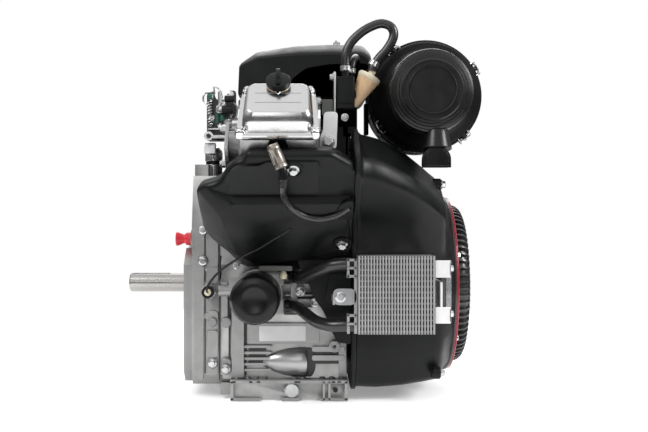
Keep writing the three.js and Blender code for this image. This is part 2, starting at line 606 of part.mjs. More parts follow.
// ---------- air cleaner ----------
function makeAirCleaner() {
  const body = alongY([[50, -114], [80.4, -114], [80.4, -108], [73, -106], [73, 14], [67, 64], [62, 70],
    [26, 70], [26, 66], [60, 66], [63, 63], [69, 13], [69, -110], [50, -110], [50, -114]],
  CANISTER_X, CANISTER_Z, 28);
  add(engine, 'air_cleaner_body', body, 'black');
  const cover = alongY([[0, -205], [32.3, -205], [36, -203], [41, -203], [44, -199], [56.5, -190],
    [60, -168], [64, -146], [80.4, -122], [80.4, -114.3], [0, -114.3]], CANISTER_X, CANISTER_Z, 28);
  add(engine, 'air_cleaner_cover', cut(cover, alongY(plug(48, -140, -110), CANISTER_X, CANISTER_Z, 24)),
    'black');
  add(engine, 'filter_element', alongY(ring(30, 46, -134, 60), CANISTER_X, CANISTER_Z, 24), 'paper');
  add(engine, 'dust_ejector', join(
    alongZ(plug(11, 358, 376), 199, -192, 16),
    slabY([[183, 361], [220, 361], [220, 345], [211, 334], [192, 334], [183, 345]], -203, -181),
  ), 'rubber');
  add(engine, 'canister_strap', join(
    alongY(ring(73.4, 76.5, -8, 12), CANISTER_X, CANISTER_Z, 28),
    box(115, 121.5, -8, 12, 392, 440),
  ), 'zinc');
}

function makeWire() {
  add(engine, 'switch_wire', pipe([[-116, -131, 158.5], [-116, -142, 163], [-110, -146, 175],
    [-93, -152, 193], [-63, -172, 212], [-40, -191, 223], [-18, -207, 237], [4, -219, 251]], 1.6, 8, 18),
  'rubber');
}

makeCrankcase();
makeCover();
makeOilSystem();
for (const [prefix, x, side] of [['near', NEAR_X, -1], ['far', FAR_X, 1]]) {
  const bank = makeBank(x, side);
  makeBarrel(bank, `${prefix}_cylinder_barrel`);
  makeHead(bank, `${prefix}_cylinder_head`, side);
  makeValveCover(bank, `${prefix}_valve_cover`, side);
  makePlug(bank, prefix, side);
  makeShroud(bank, `${prefix}_cylinder_shroud`, side);
  makePiston(bank, `${prefix}_piston`);
  if (side < 0) {
    add(bank, 'oil_filler_cap', join(
      alongZ(plug(16.4, 367.3, 375), 0, CAP_Y),
      box(-3, 3, CAP_Y - 14, CAP_Y + 14, 374, 389),
    ), 'black');
  }
}
makeCrankTrain();
makeHousing();
makeStarter();
makeIntake();
makeFuelSystem();
makeAirCleaner();
makeWire();

export default engine;
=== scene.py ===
"""Looks for the V-twin gasoline engine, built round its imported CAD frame. Shapes are in millimetres."""

import json
import math

import bmesh
import bpy
from mathutils import Matrix, Vector


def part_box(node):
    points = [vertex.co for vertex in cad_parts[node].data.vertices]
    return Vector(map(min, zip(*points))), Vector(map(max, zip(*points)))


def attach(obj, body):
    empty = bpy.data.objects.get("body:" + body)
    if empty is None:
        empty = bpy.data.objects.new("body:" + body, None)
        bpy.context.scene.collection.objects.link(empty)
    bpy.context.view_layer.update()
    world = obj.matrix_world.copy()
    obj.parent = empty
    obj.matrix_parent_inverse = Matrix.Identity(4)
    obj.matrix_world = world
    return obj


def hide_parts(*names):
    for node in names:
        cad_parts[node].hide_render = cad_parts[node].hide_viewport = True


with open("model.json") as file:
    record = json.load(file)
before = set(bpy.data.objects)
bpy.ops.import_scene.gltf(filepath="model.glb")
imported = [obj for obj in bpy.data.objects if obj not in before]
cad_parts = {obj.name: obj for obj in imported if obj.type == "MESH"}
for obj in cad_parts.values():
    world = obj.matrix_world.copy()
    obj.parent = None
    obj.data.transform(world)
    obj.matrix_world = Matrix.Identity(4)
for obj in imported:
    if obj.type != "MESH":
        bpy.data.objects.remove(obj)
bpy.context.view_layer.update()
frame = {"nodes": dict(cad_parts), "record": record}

# ---------- places taken from the frame, in millimetres ----------
MM = 0.001


def box_mm(node):
    low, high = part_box(node)
    return Vector(low) / MM, Vector(high) / MM


def centre_mm(node):
    low, high = box_mm(node)
    return (low + high) / 2


def joint_mm(name):
    joint = next(entry for entry in frame["record"]["behaviour"]["joints"] if entry["name"] == name)
    return Vector(joint["pos_m"]) / MM


CRANK_Z = joint_mm("crankshaft_spin").z
SHAFT_END = box_mm("crankshaft")[0].x
COVER_LOW, COVER_HIGH = box_mm("crankcase_cover")
OUTPUT_FACE = COVER_LOW.x
CASE_LOW = box_mm("crankcase")[0]
FILTER = centre_mm("oil_filter")
FILTER_LOW = box_mm("oil_filter")[0]
CANISTER = centre_mm("air_cleaner_body")
COVER_FRONT = box_mm("air_cleaner_cover")[0].y
HOUSING_LOW, HOUSING_HIGH = box_mm("blower_housing")
COOLER_LOW, COOLER_HIGH = box_mm("oil_cooler")
HEAD_TOP = 335
BANK_X = {-1: centre_mm("near_valve_cover").x, 1: centre_mm("far_valve_cover").x}
BANK_NAME = {-1: "near", 1: "far"}


def bank_move(side):
    """Frame of one cylinder: z along its axis from the crankshaft, side * y away from the valley."""
    place = Matrix.Translation((BANK_X[side], 0, CRANK_Z))
    return place @ Matrix.Rotation(-side * math.pi / 4, 4, "X")


# ---------- outlines and paths ----------
def rounded(half_x, half_y, corner, steps=6, centre=(0, 0)):
    """A rectangle with round corners, as a ring of points."""
    points = []
    for quarter, (sign_x, sign_y) in enumerate([(1, 1), (-1, 1), (-1, -1), (1, -1)]):
        middle = (sign_x * (half_x - corner), sign_y * (half_y - corner))
        for step in range(steps + 1):
            angle = math.pi / 2 * (quarter + step / steps)
            points.append((centre[0] + middle[0] + corner * math.cos(angle),
                           centre[1] + middle[1] + corner * math.sin(angle)))
    return points


def soften(outline, radius, steps=4):
    """Rounds every corner of an outline with a short curve."""
    points = []
    count = len(outline)
    for index, corner in enumerate(outline):
        here = Vector(corner)
        before = Vector(outline[index - 1]) - here
        after = Vector(outline[(index + 1) % count]) - here
        reach = min(radius, before.length * 0.45, after.length * 0.45)
        start = here + before.normalized() * reach
        end = here + after.normalized() * reach
        for step in range(steps + 1):
            t = step / steps
            points.append(tuple(start * (1 - t) ** 2 + here * 2 * t * (1 - t) + end * t ** 2))
    return points


def smooth_path(points, steps=8):
    """A Catmull-Rom curve through the points."""
    spots = [Vector(point) for point in points]
    spots = [2 * spots[0] - spots[1]] + spots + [2 * spots[-1] - spots[-2]]
    path = []
    for index in range(1, len(spots) - 2):
        a, b, c, d = spots[index - 1:index + 3]
        for step in range(steps):
            t = step / steps
            path.append(0.5 * (2 * b + (c - a) * t + (2 * a - 5 * b + 4 * c - d) * t ** 2
                               + (3 * b - a - 3 * c + d) * t ** 3))
    return path + [spots[-2]]


class Shape:
    """Closed solids gathered into one mesh, in millimetres."""

    def __init__(self, move=None):
        self.vertices = []
        self.faces = []
        self.move = move or Matrix()

    def add(self, vertices, faces):
        start = len(self.vertices)
        self.vertices += [self.move @ Vector(vertex) for vertex in vertices]
        self.faces += [[start + index for index in face] for face in faces]
        return self

    def loft(self, rings, ends=True, closed=False):
        count = len(rings[0])
        faces = []
        levels = len(rings) if closed else len(rings) - 1
        for level in range(levels):
            upper = (level + 1) % len(rings)
            for i in range(count):
                j = (i + 1) % count
                faces.append([level * count + i, level * count + j, upper * count + j, upper * count + i])
        if ends and not closed:
            faces.append(list(range(count))[::-1])
            faces.append([(len(rings) - 1) * count + i for i in range(count)])
        return self.add([point for ring in rings for point in ring], faces)

    def prism(self, outline, axis, low, high):
        """An outline in the two other axes, in X, Y, Z order, extruded along one axis."""
        return self.loft([[on_axis(point, axis, level) for point in outline] for level in (low, high)])

    def plate(self, outline, corner, axis, start, end):
        """An outline with softened corners, extruded along one axis."""
        return self.prism(soften(outline, corner), axis, start, end)

    def slab(self, low, high, corner, axis, start, end):
        """A rectangle with softened corners between two opposite ones, extruded along one axis."""
        return self.plate([low, (high[0], low[1]), high, (low[0], high[1])], corner, axis, start, end)

    def block(self, low, high):
        outline = [(low[0], low[1]), (high[0], low[1]), (high[0], high[1]), (low[0], high[1])]
        return self.prism(outline, "Z", low[2], high[2])

    def turned(self, profile, origin, axis, sides=48):
        """Profile holds (radius, distance along the axis) pairs; it closes on the axis or on itself."""
        direction = Vector(axis).normalized()
        across = direction.orthogonal().normalized()
        third = direction.cross(across)
        rings = []
        for radius, along in profile:
            ring = []
            for side in range(sides):
                angle = 2 * math.pi * side / sides
                spot = Vector(origin) + direction * along
                ring.append(spot + radius * (across * math.cos(angle) + third * math.sin(angle)))
            rings.append(ring)
        solid = profile[0][0] < 0.01 or profile[-1][0] < 0.01
        return self.loft(rings, ends=solid, closed=not solid)

    def rod(self, start, end, radius, sides=24, chamfer=0.5):
        start, end = Vector(start), Vector(end)
        length = (end - start).length
        lip = min(chamfer, radius * 0.4, length * 0.3)
        profile = [(0, 0), (radius - lip, 0), (radius, lip), (radius, length - lip),
                   (radius - lip, length), (0, length)]
        return self.turned(profile, start, end - start, sides)

    def pipe(self, points, radius, sides=20, steps=8, smooth=True):
        path = smooth_path(points, steps) if smooth else [Vector(point) for point in points]
        tangents = [(path[min(i + 1, len(path) - 1)] - path[max(i - 1, 0)]).normalized()
                    for i in range(len(path))]
        across = tangents[0].orthogonal().normalized()
        rings = []
        for spot, tangent in zip(path, tangents):
            across = (across - tangent * across.dot(tangent)).normalized()
            third = tangent.cross(across)
            rings.append([spot + radius * (across * math.cos(a) + third * math.sin(a))
                          for a in (2 * math.pi * side / sides for side in range(sides))])
        return self.loft(rings)

    def ring(self, inner, outer, low, high, origin, axis, sides=64):
        lip = min(0.6, (outer - inner) * 0.25, (high - low) * 0.25)
        return self.turned([(inner + lip, low), (outer - lip, low), (outer, low + lip), (outer, high - lip),
                            (outer - lip, high), (inner + lip, high), (inner, high - lip),
                            (inner, low + lip)],
                           origin, axis, sides)

    def bolt(self, at, axis, head=5.0):
        """A hexagon head on a round flange."""
        direction = Vector(axis).normalized()
        flange = 1.45 * head
        self.turned([(0, 0), (flange, 0), (flange, 0.25 * head), (1.05 * head, 0.42 * head),
                     (0, 0.42 * head)], at, direction, 28)
        across = direction.orthogonal().normalized()
        third = direction.cross(across)
        rings = []
        for along, size in [(0.3, 1.0), (1.2, 1.0), (1.35, 0.84)]:
            rings.append([Vector(at) + direction * along * head + 1.08 * size * head
                          * (across * math.cos(math.pi * k / 3) + third * math.sin(math.pi * k / 3))
                          for k in range(6)])
        return self.loft(rings)

    def clamp(self, at, axis, radius, width=8):
        """A hose clamp with its two upright ears."""
        direction = Vector(axis).normalized()
        self.ring(radius, radius + 1.2, -width / 2, width / 2, at, direction, 32)
        across = Vector((0, -1, 0)) if abs(direction.y) < 0.8 else Vector((1, 0, 0))
        across = (across - direction * across.dot(direction)).normalized()
        third = direction.cross(across)
        for sign in (-1, 1):
            middle = Vector(at) + across * (radius + 2.5) + third * sign * 2.4
            self.rod(middle - direction * width / 2, middle + direction * width / 2, 1.4, 12)
        return self

    def spring(self, start, end, radius, wire, turns):
        start, end = Vector(start), Vector(end)
        direction = (end - start).normalized()
        across = direction.orthogonal().normalized()
        third = direction.cross(across)
        points = []
        for step in range(turns * 12 + 1):
            angle = 2 * math.pi * step / 12
            along = (end - start) * step / (turns * 12)
            points.append(start + along + radius * (across * math.cos(angle) + third * math.sin(angle)))
        return self.pipe(points, wire, 6, smooth=False)


def on_axis(point, axis, level):
    a, b = point
    return {"X": (level, a, b), "Y": (a, level, b), "Z": (a, b, level)}[axis]


# ---------- materials ----------
class Nodes:
    """A small wrapper that keeps the node building below short."""

    def __init__(self, name):
        self.material = bpy.data.materials.new(name)
        self.material.use_nodes = True
        self.tree = self.material.node_tree
        self.shader = self.tree.nodes["Principled BSDF"]
        self.place = self.tree.nodes.new("ShaderNodeTexCoord").outputs["Object"]

    def node(self, kind, **values):
        made = self.tree.nodes.new(kind)
        for key, value in values.items():
            if key in made.inputs:
                made.inputs[key].default_value = value
            else:
                setattr(made, key, value)
        return made

    def link(self, source, target):
        self.tree.links.new(source, target)

    def noise(self, scale, detail=4.0, stretch=None):
        made = self.node("ShaderNodeTexNoise", Scale=scale, Detail=detail)
        place = self.place
        if stretch:
            mapping = self.node("ShaderNodeMapping", Scale=stretch)
            self.link(place, mapping.inputs["Vector"])
            place = mapping.outputs["Vector"]
        self.link(place, made.inputs["Vector"])
        return made.outputs["Fac"]

    def ramp(self, source, low, high, first, last):
        made = self.node("ShaderNodeValToRGB")
        made.color_ramp.elements[0].position = low
        made.color_ramp.elements[1].position = high
        made.color_ramp.elements[0].color = (*first, 1)
        made.color_ramp.elements[1].color = (*last, 1)
        self.link(source, made.inputs["Fac"])
        return made.outputs["Color"]

    def range(self, source, low, high, to_low, to_high):
        made = self.node("ShaderNodeMapRange")
        for socket, value in zip(made.inputs[1:5], (low, high, to_low, to_high)):
            socket.default_value = value
        self.link(source, made.inputs["Value"])
        return made.outputs["Result"]

    def mix(self, amount, first, second):
        made = self.node("ShaderNodeMix", data_type="RGBA")
        self.link(amount, made.inputs[0])
        self.link(first, made.inputs[6])
        self.link(second, made.inputs[7])
        return made.outputs[2]


def make_dome():
    """Studio light: a bright ceiling over dim walls, in front of a white backdrop."""
    world = bpy.data.worlds.new("studio")
    bpy.context.scene.world = world
    world.use_nodes = True
    tree = world.node_tree
    shade = tree.nodes["Background"]
    place = tree.nodes.new("ShaderNodeTexCoord")
    axes = tree.nodes.new("ShaderNodeSeparateXYZ")
    tree.links.new(place.outputs["Generated"], axes.inputs["Vector"])
    ramp = tree.nodes.new("ShaderNodeValToRGB")
    for position, grey in [(0.0, 0.5), (0.40, 0.10), (0.5, 0.10), (0.62, 0.22), (0.78, 0.85), (1.0, 1.0)]:
        stop = ramp.color_ramp.elements[0] if position == 0 else ramp.color_ramp.elements.new(position)
        stop.color = (grey, grey, grey, 1)
    height = tree.nodes.new("ShaderNodeMapRange")
    height.inputs["From Min"].default_value = -1
    tree.links.new(axes.outputs["Z"], height.inputs["Value"])
    tree.links.new(height.outputs["Result"], ramp.inputs["Fac"])
    tree.links.new(ramp.outputs["Color"], shade.inputs["Color"])
    shade.inputs["Strength"].default_value = 1.15
    backdrop = tree.nodes.new("ShaderNodeBackground")
    backdrop.inputs["Color"].default_value = (1, 1, 1, 1)
    seen = tree.nodes.new("ShaderNodeLightPath")
    pick = tree.nodes.new("ShaderNodeMixShader")
    tree.links.new(seen.outputs["Is Camera Ray"], pick.inputs["Fac"])
    tree.links.new(shade.outputs["Background"], pick.inputs[1])
    tree.links.new(backdrop.outputs["Background"], pick.inputs[2])
    tree.links.new(pick.outputs["Shader"], tree.nodes["World Output"].inputs["Surface"])


def scaled(colour, factor):
    return tuple(min(1.0, channel * factor) for channel in colour)


PATCH_SCALE = 14
BLEND_SCALE = 90
WEAR_SCALE = 60
GLOSS_SCALE = 35
GRAIN_DEPTH = 0.0006


def surface(name, colour, rough, metal, grain, bump, worn, spread=0.12, stretch=None, coat=0.0, shine=0.5):
    """One finish: patchy colour, uneven gloss, a fine grain and paler or darker edges."""
    nodes = Nodes(name)
    patches = nodes.ramp(nodes.noise(PATCH_SCALE, 5), 0.3, 0.7, scaled(colour, 1 - spread),
                         scaled(colour, 1 + spread))
    speckle = nodes.ramp(nodes.noise(grain, 2, stretch), 0.35, 0.65, scaled(colour, 1 - spread * 0.7),
                         scaled(colour, 1 + spread * 0.7))
    half = nodes.range(nodes.noise(BLEND_SCALE, 3), 0.3, 0.7, 0.25, 0.75)
    body = nodes.mix(half, patches, speckle)
    edges = nodes.node("ShaderNodeNewGeometry").outputs["Pointiness"]
    edge_mask = nodes.range(edges, 0.52, 0.6, 0.0, 0.8)
    worn_colour = nodes.ramp(nodes.noise(WEAR_SCALE, 3), 0.3, 0.7, scaled(worn, 0.85), scaled(worn, 1.1))
    nodes.link(nodes.mix(edge_mask, body, worn_colour), nodes.shader.inputs["Base Color"])
    gloss = nodes.range(nodes.noise(GLOSS_SCALE, 4), 0.3, 0.7, max(0.05, rough - 0.07),
                        min(1, rough + 0.09))
    nodes.link(gloss, nodes.shader.inputs["Roughness"])
    relief = nodes.node("ShaderNodeBump", Strength=bump, Distance=GRAIN_DEPTH)
    nodes.link(nodes.noise(grain, 3, stretch), relief.inputs["Height"])
    nodes.link(relief.outputs["Normal"], nodes.shader.inputs["Normal"])
    nodes.shader.inputs["Metallic"].default_value = metal
    nodes.shader.inputs["Coat Weight"].default_value = coat
    nodes.shader.inputs["Specular IOR Level"].default_value = shine
    return nodes.material


def grey(level):
    return (level, level, level)


def make_finishes():
    """Record slot -> material."""
    return {
        "cast_aluminium": surface("cast", (0.25, 0.25, 0.248), 0.40, 0.85, 900, 0.16, (0.44, 0.44, 0.435),
                                  0.2),
        "bright_aluminium": surface("bright", grey(0.56), 0.20, 1.0, 260, 0.0, grey(0.7), 0.03),
        "machined_steel": surface("steel", (0.36, 0.35, 0.34), 0.26, 1.0, 400, 0.10, grey(0.5), 0.1,
                                  (12, 1, 1)),
        "zinc_plate": surface("zinc", (0.46, 0.465, 0.47), 0.26, 0.95, 300, 0.0, (0.6, 0.6, 0.61), 0.06),
        "cooler_aluminium": surface("fins", (0.33, 0.335, 0.34), 0.36, 0.85, 400, 0.0, grey(0.42), 0.04),
        "black_plastic": surface("plastic", (0.0036, 0.004, 0.0042), 0.38, 0.0, 1400, 0.10,
                                 (0.008, 0.0085, 0.009), 0.15, shine=0.20),
        "black_paint": surface("paint", grey(0.0016), 0.30, 0.0, 500, 0.0, grey(0.004), 0.15, coat=0.06,
                               shine=0.3),
        "black_rubber": surface("rubber", (0.0028, 0.0028, 0.003), 0.28, 0.0, 900, 0.05, grey(0.006), 0.2,
                                shine=0.32),
        "red_paint": surface("red_ring", (0.27, 0.006, 0.016), 0.28, 0.0, 600, 0.03, (0.36, 0.03, 0.05),
                             0.08, coat=0.3),
        "red_plastic": surface("red_plug", (0.58, 0.012, 0.026), 0.34, 0.0, 600, 0.06, (0.7, 0.06, 0.08),
                               0.08),
        "amber_plastic": surface("amber", (0.62, 0.40, 0.22), 0.32, 0.0, 300, 0.05, (0.76, 0.62, 0.44),
                                 0.12),
        "filter_paper": surface("paper", (0.62, 0.52, 0.34), 0.9, 0.0, 300, 0.4, (0.7, 0.6, 0.42), 0.15),
    }


FINISHES = make_finishes()
TAN_MATERIAL = surface("cream_fitting", (0.62, 0.56, 0.42), 0.5, 0.0, 500, 0.1, (0.7, 0.65, 0.5))
GREEN_MATERIAL = surface("green_paint", (0.008, 0.07, 0.045), 0.4, 0.0, 500, 0.05, (0.02, 0.12, 0.08))
GREY_MATERIAL = surface("grey_block", (0.09, 0.095, 0.085), 0.5, 0.0, 500, 0.1, (0.14, 0.145, 0.135),
                        shine=0.3)
# Dark grey: painted shade in recesses, grooves and gaps, and the dark steel of the control plate.
SHADE_AND_DARK_STEEL = surface("painted_recess_shade_and_dark_steel", grey(0.05), 0.5, 0.6, 500, 0.1, grey(0.11), 0.15, shine=0.3)
LEAD_MATERIAL = surface("lead_sheath", (0.012, 0.012, 0.0125), 0.3, 0.0, 900, 0.02, grey(0.03), 0.1,
                        shine=0.6)
CUP_MATERIAL = surface("moulded_cup", (0.005, 0.005, 0.0052), 0.32, 0.0, 900, 0.03, grey(0.010), 0.1,
                       shine=0.42)
MATT_MATERIAL = surface("matt_black", (0.0022, 0.0022, 0.0023), 0.55, 0.0, 900, 0.1, grey(0.005), 0.1,
                        shine=0.10)
# Near-black with no shine: painted shadow for openings and hollows that are only shade.
PAINTED_SHADOW_MATERIAL = surface("painted_deep_shadow", grey(0.0012), 0.9, 0.0, 300, 0.1, grey(0.002), shine=0.0)
SHIELD_MATERIAL = surface("boot_shield", (0.26, 0.235, 0.205), 0.34, 0.85, 260, 0.2, (0.5, 0.47, 0.42), 0.3,
                          (1, 6, 1))
FIN_MATERIAL = surface("fin_strips", (0.24, 0.24, 0.245), 0.6, 0.3, 400, 0.0, grey(0.30), 0.05)
TUBE_MATERIAL = surface("tubes", (0.15, 0.15, 0.155), 0.5, 0.4, 400, 0.0, grey(0.2), 0.08)
# A lighter, smoother copy of the cast aluminium: painted highlight on the cast gallery boss.
LIT_CAST_MATERIAL = surface("painted_highlight_cast_aluminium", grey(0.42), 0.34, 0.95, 300, 0.0, grey(0.5), 0.04)
PLATE_MATERIAL = surface("blank_plate", grey(0.62), 0.35, 0.1, 500, 0.03, grey(0.7), 0.04)


def piece(name, shape, slot, body="root", bevel=0.6, replaces=(), material=None, angle=38, subdivide=0):
    """Turns a Shape into a finished object that rides on a body."""
    mesh = bpy.data.meshes.new(name)
    mesh.from_pydata([Vector(vertex) * MM for vertex in shape.vertices], [], shape.faces)
    made = bpy.data.objects.new(name, mesh)
    bpy.context.scene.collection.objects.link(made)
    work = bmesh.new()
    work.from_mesh(mesh)
    bmesh.ops.remove_doubles(work, verts=work.verts, dist=1e-6)
    bmesh.ops.dissolve_degenerate(work, dist=1e-6, edges=work.edges)
    bmesh.ops.recalc_face_normals(work, faces=work.faces)
    work.to_mesh(mesh)
    work.free()
    finish_object(made, slot, body, bevel, replaces, material, angle, subdivide)
    return made


def finish_object(made, slot, body, bevel, replaces, material=None, angle=38, subdivide=0):
    mesh = made.data
    mesh.materials.clear()
    mesh.materials.append(material or FINISHES[slot])
    mesh.polygons.foreach_set("use_smooth", [True] * len(mesh.polygons))
    if bevel:
        cut = made.modifiers.new("edges", "BEVEL")
        cut.width = bevel * MM
        cut.segments = 2
        cut.limit_method = "ANGLE"
        cut.angle_limit = math.radians(angle)
        cut.harden_normals = True
    else:
        mesh.set_sharp_from_angle(angle=math.radians(angle))
    if subdivide:
        made.modifiers.new("smooth", "SUBSURF").levels = subdivide
        made.modifiers["smooth"].render_levels = subdivide
    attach(made, body)
    if replaces:
        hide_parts(*replaces)


def refined(node, slot, body="root", bevel=1.0):
    """A copy of a CAD node with rounded edges, standing for that node."""
    source = frame["nodes"][node]
    made = bpy.data.objects.new(node + "_body", source.data.copy())
    bpy.context.scene.collection.objects.link(made)
    work = bmesh.new()
    work.from_mesh(made.data)
    bmesh.ops.remove_doubles(work, verts=work.verts, dist=1e-5)
    bmesh.ops.dissolve_limit(work, angle_limit=math.radians(1), verts=work.verts, edges=work.edges)
    bmesh.ops.recalc_face_normals(work, faces=work.faces)
    work.to_mesh(made.data)
    work.free()
    finish_object(made, slot, body, bevel, [node])
    return made


# ---------- camera, light and floor ----------
CAMERA_LENS = 53.417              # mm, on a 36 mm sensor
CAMERA_SHIFT = (0.0293, -0.017)
CAMERA_PLACE = (0.0229, -1.5, 0.2827)
FLOOR_RADIUS = 1.15
FLOOR_GLOW = 0.28


def make_stage():
    camera_data = bpy.data.cameras.new("camera")
    camera_data.lens = CAMERA_LENS
    camera_data.sensor_width = 36
    camera_data.shift_x, camera_data.shift_y = CAMERA_SHIFT
    camera = bpy.data.objects.new("camera", camera_data)
    bpy.context.scene.collection.objects.link(camera)
    camera.location = CAMERA_PLACE
    camera.rotation_euler = (math.pi / 2, 0, 0)
    bpy.context.scene.camera = camera

    bpy.ops.mesh.primitive_circle_add(vertices=128, radius=FLOOR_RADIUS, fill_type="NGON",
                                      location=(0, 0, 0))
    floor = bpy.context.object
    floor.name = "floor"
    nodes = Nodes("floor_white")
    pale = nodes.ramp(nodes.noise(2, 2), 0.3, 0.7, (0.93, 0.93, 0.93), (0.95, 0.95, 0.95))
    nodes.link(pale, nodes.shader.inputs["Base Color"])
    nodes.shader.inputs["Roughness"].default_value = 0.9
    nodes.shader.inputs["Specular IOR Level"].default_value = 0.1
    nodes.shader.inputs["Emission Color"].default_value = (1, 1, 1, 1)
    nodes.shader.inputs["Emission Strength"].default_value = FLOOR_GLOW
    floor.data.materials.append(nodes.material)
    make_dome()
    for name, place, aim, size, power in [
        ("key", (-1.5, -1.3, 1.9), (0, 0, 0.25), 1.1, 30),
        ("fill", (1.9, -0.9, 1.3), (0, 0, 0.25), 0.8, 40),
        ("front", (-0.3, -2.6, 0.9), (0, 0, 0.15), 0.7, 4),
        ("back", (0.2, 1.8, 1.8), (0, 0, 0.3), 1.4, 18),
    ]:
        light_data = bpy.data.lights.new(name, "AREA")
        light_data.size = size
        light_data.energy = power
        light = bpy.data.objects.new(name, light_data)
        bpy.context.scene.collection.objects.link(light)
        light.location = place
        light.rotation_euler = (Vector(aim) - Vector(place)).to_track_quat("-Z", "Y").to_euler()
    bpy.context.scene.view_settings.view_transform = "Standard"


# ---------- crankcase ----------
NEAR_WALL = -92      # side wall of the crankcase


def make_crankcase():
    refined("crankcase", "cast_aluminium", bevel=1.6)
    refined("crankcase_cover", "cast_aluminium", bevel=3.0)
    wall = Shape()
    y_wall = NEAR_WALL + 2
    make_side_ribs(wall, y_wall)
    wall.slab((-62, 80), (44, 110), 4, "Y", -96, y_wall)
    wall.plate([(-84, 31), (-66, 31), (-66, 112), (-74, 150), (-84, 150)], 4, "Y", -101, y_wall)
    wall.slab((72, 31), (83, 84), 3, "Y", -97, y_wall)
    wall.ring(2.6, 8.5, 0, 14, (66, y_wall, 77), (0, -1, 0), 32)
    wall.slab((-99, 116), (-90, 184), 3, "Y", -99, y_wall)
    wall.plate([(-88, 150), (-76, 150), (-72, 184), (-88, 184)], 4, "Y", -104, y_wall)
    for x, z, reach in [(-76, 196, 112), (-92, 112, 103), (-92, 44, 103)]:
        wall.rod((x, -91, z), (x, -reach, z), 8, 24, 1.5)
    piece("crankcase_ribs", wall, "cast_aluminium", bevel=1.0)

    # Dark slabs between the ribs and along the steps: painted shade in the gaps.
    gap_shade = Shape()
    for z in (71.5, 62.5, 54.5):
        gap_shade.slab((-60, z - 1.5), (-34, z + 1.5), 1.4, "Y", -94.4, -91)
    for z in (66.3, 53.1):
        gap_shade.slab((36, z - 2.4), (78, z + 2.4), 2.2, "Y", -94.6, -91)
    gap_shade.slab((-65.5, 34), (-62.6, 140), 1, "Y", -94.6, -91)
    gap_shade.slab((-89, 40), (-86.6, 180), 1, "Y", -94.8, -91)
    piece("casting_gap_painted_shade", gap_shade, "black_rubber", bevel=0.3, material=SHADE_AND_DARK_STEEL)

    # The boss is cast like the case and takes the lighter copy of the cast finish: painted highlight.
    cone = Shape()
    rings = []
    for x, radius in [(-43, 2.5), (-38, 6), (-30, 11), (-20, 15.5), (-8, 19), (4, 21), (16, 22), (24, 22),
                      (26, 20.5)]:
        rings.append([(x, -90 - 0.78 * radius * math.sin(math.pi * i / 20),
                       53 + radius * math.cos(math.pi * i / 20)) for i in range(21)])
    cone.loft(rings)
    piece("oil_gallery_boss", cone, "bright_aluminium", bevel=0.8, material=LIT_CAST_MATERIAL)
    # A dark plate beside the boss's end: painted shadow, not a real recess.
    shadow = Shape()
    shadow.plate([(24, 32), (33, 32), (38, 44), (38, 62), (32, 74), (24, 74)], 4, "Y", -95.2, -91)
    piece("gallery_end_painted_shadow", shadow, "cast_aluminium", bevel=1, material=SHADE_AND_DARK_STEEL)

    plate = Shape()
    plate.slab((-44, 84), (24, 106), 1, "Y", -97, -95.8)
    piece("blank_rating_plate", plate, "zinc_plate", bevel=0.2, material=PLATE_MATERIAL)
    make_feet_details()


def make_side_ribs(wall, y_wall):
    for z in (76, 67, 58.5, 50.5, 42):
        wall.slab((-66, z - 2), (-26, z + 2), 1.5, "Y", -98, y_wall)
    for z in (72.5, 59.7):
        wall.slab((33, z - 4), (81, z + 4), 3, "Y", -98.5, y_wall)


def make_feet_details():
    feet = Shape()
    low = CASE_LOW.y
    for x, half in [(-82, 2), (50, 1.6), (58, 1.6), (82, 2)]:
        for face in (low - 0.8, -low - 1.2):
            feet.block((x - half, face, 2), (x + half, face + 2, 29))
    for face in (low - 0.8, -low - 1.2):
        feet.slab((-84, 26), (84, 30.5), 1, "Y", face, face + 2)
        feet.plate([(-84, 0.6), (-42, 0.6), (-38, 5), (-84, 5)], 1, "Y", face, face + 2)
        feet.plate([(-14, 5), (-10, 0.6), (14, 0.6), (18, 5)], 1, "Y", face, face + 2)
        feet.plate([(42, 5), (46, 0.6), (84, 0.6), (84, 5)], 1, "Y", face, face + 2)
    for x in (-76, -60, -48, -36, 8, 20, 48, 62, 76):
        feet.rod((x, -98, 28), (x, -98, 32.6), 4.4, 20, 1)
    feet.slab((-101, 6), (-86, 24), 3, "Y", -98, -84)
    piece("foot_ribs", feet, "cast_aluminium", bevel=0.6)
    # Black discs and slots on the feet: painted shade for the insides of the holes.
    hole_shade = Shape()
    hole_shade.rod((66.8, low - 1.2, 16.7), (66.8, low + 2, 16.7), 3.6, 24, 0.3)
    for x in (-79, -55, -44, 10, 14, 64, 72):
        hole_shade.block((x - 2.4, low - 1.0, 27), (x + 2.4, low + 2, 29.4))
    piece("foot_hole_painted_shade", hole_shade, "black_rubber", bevel=0.2)


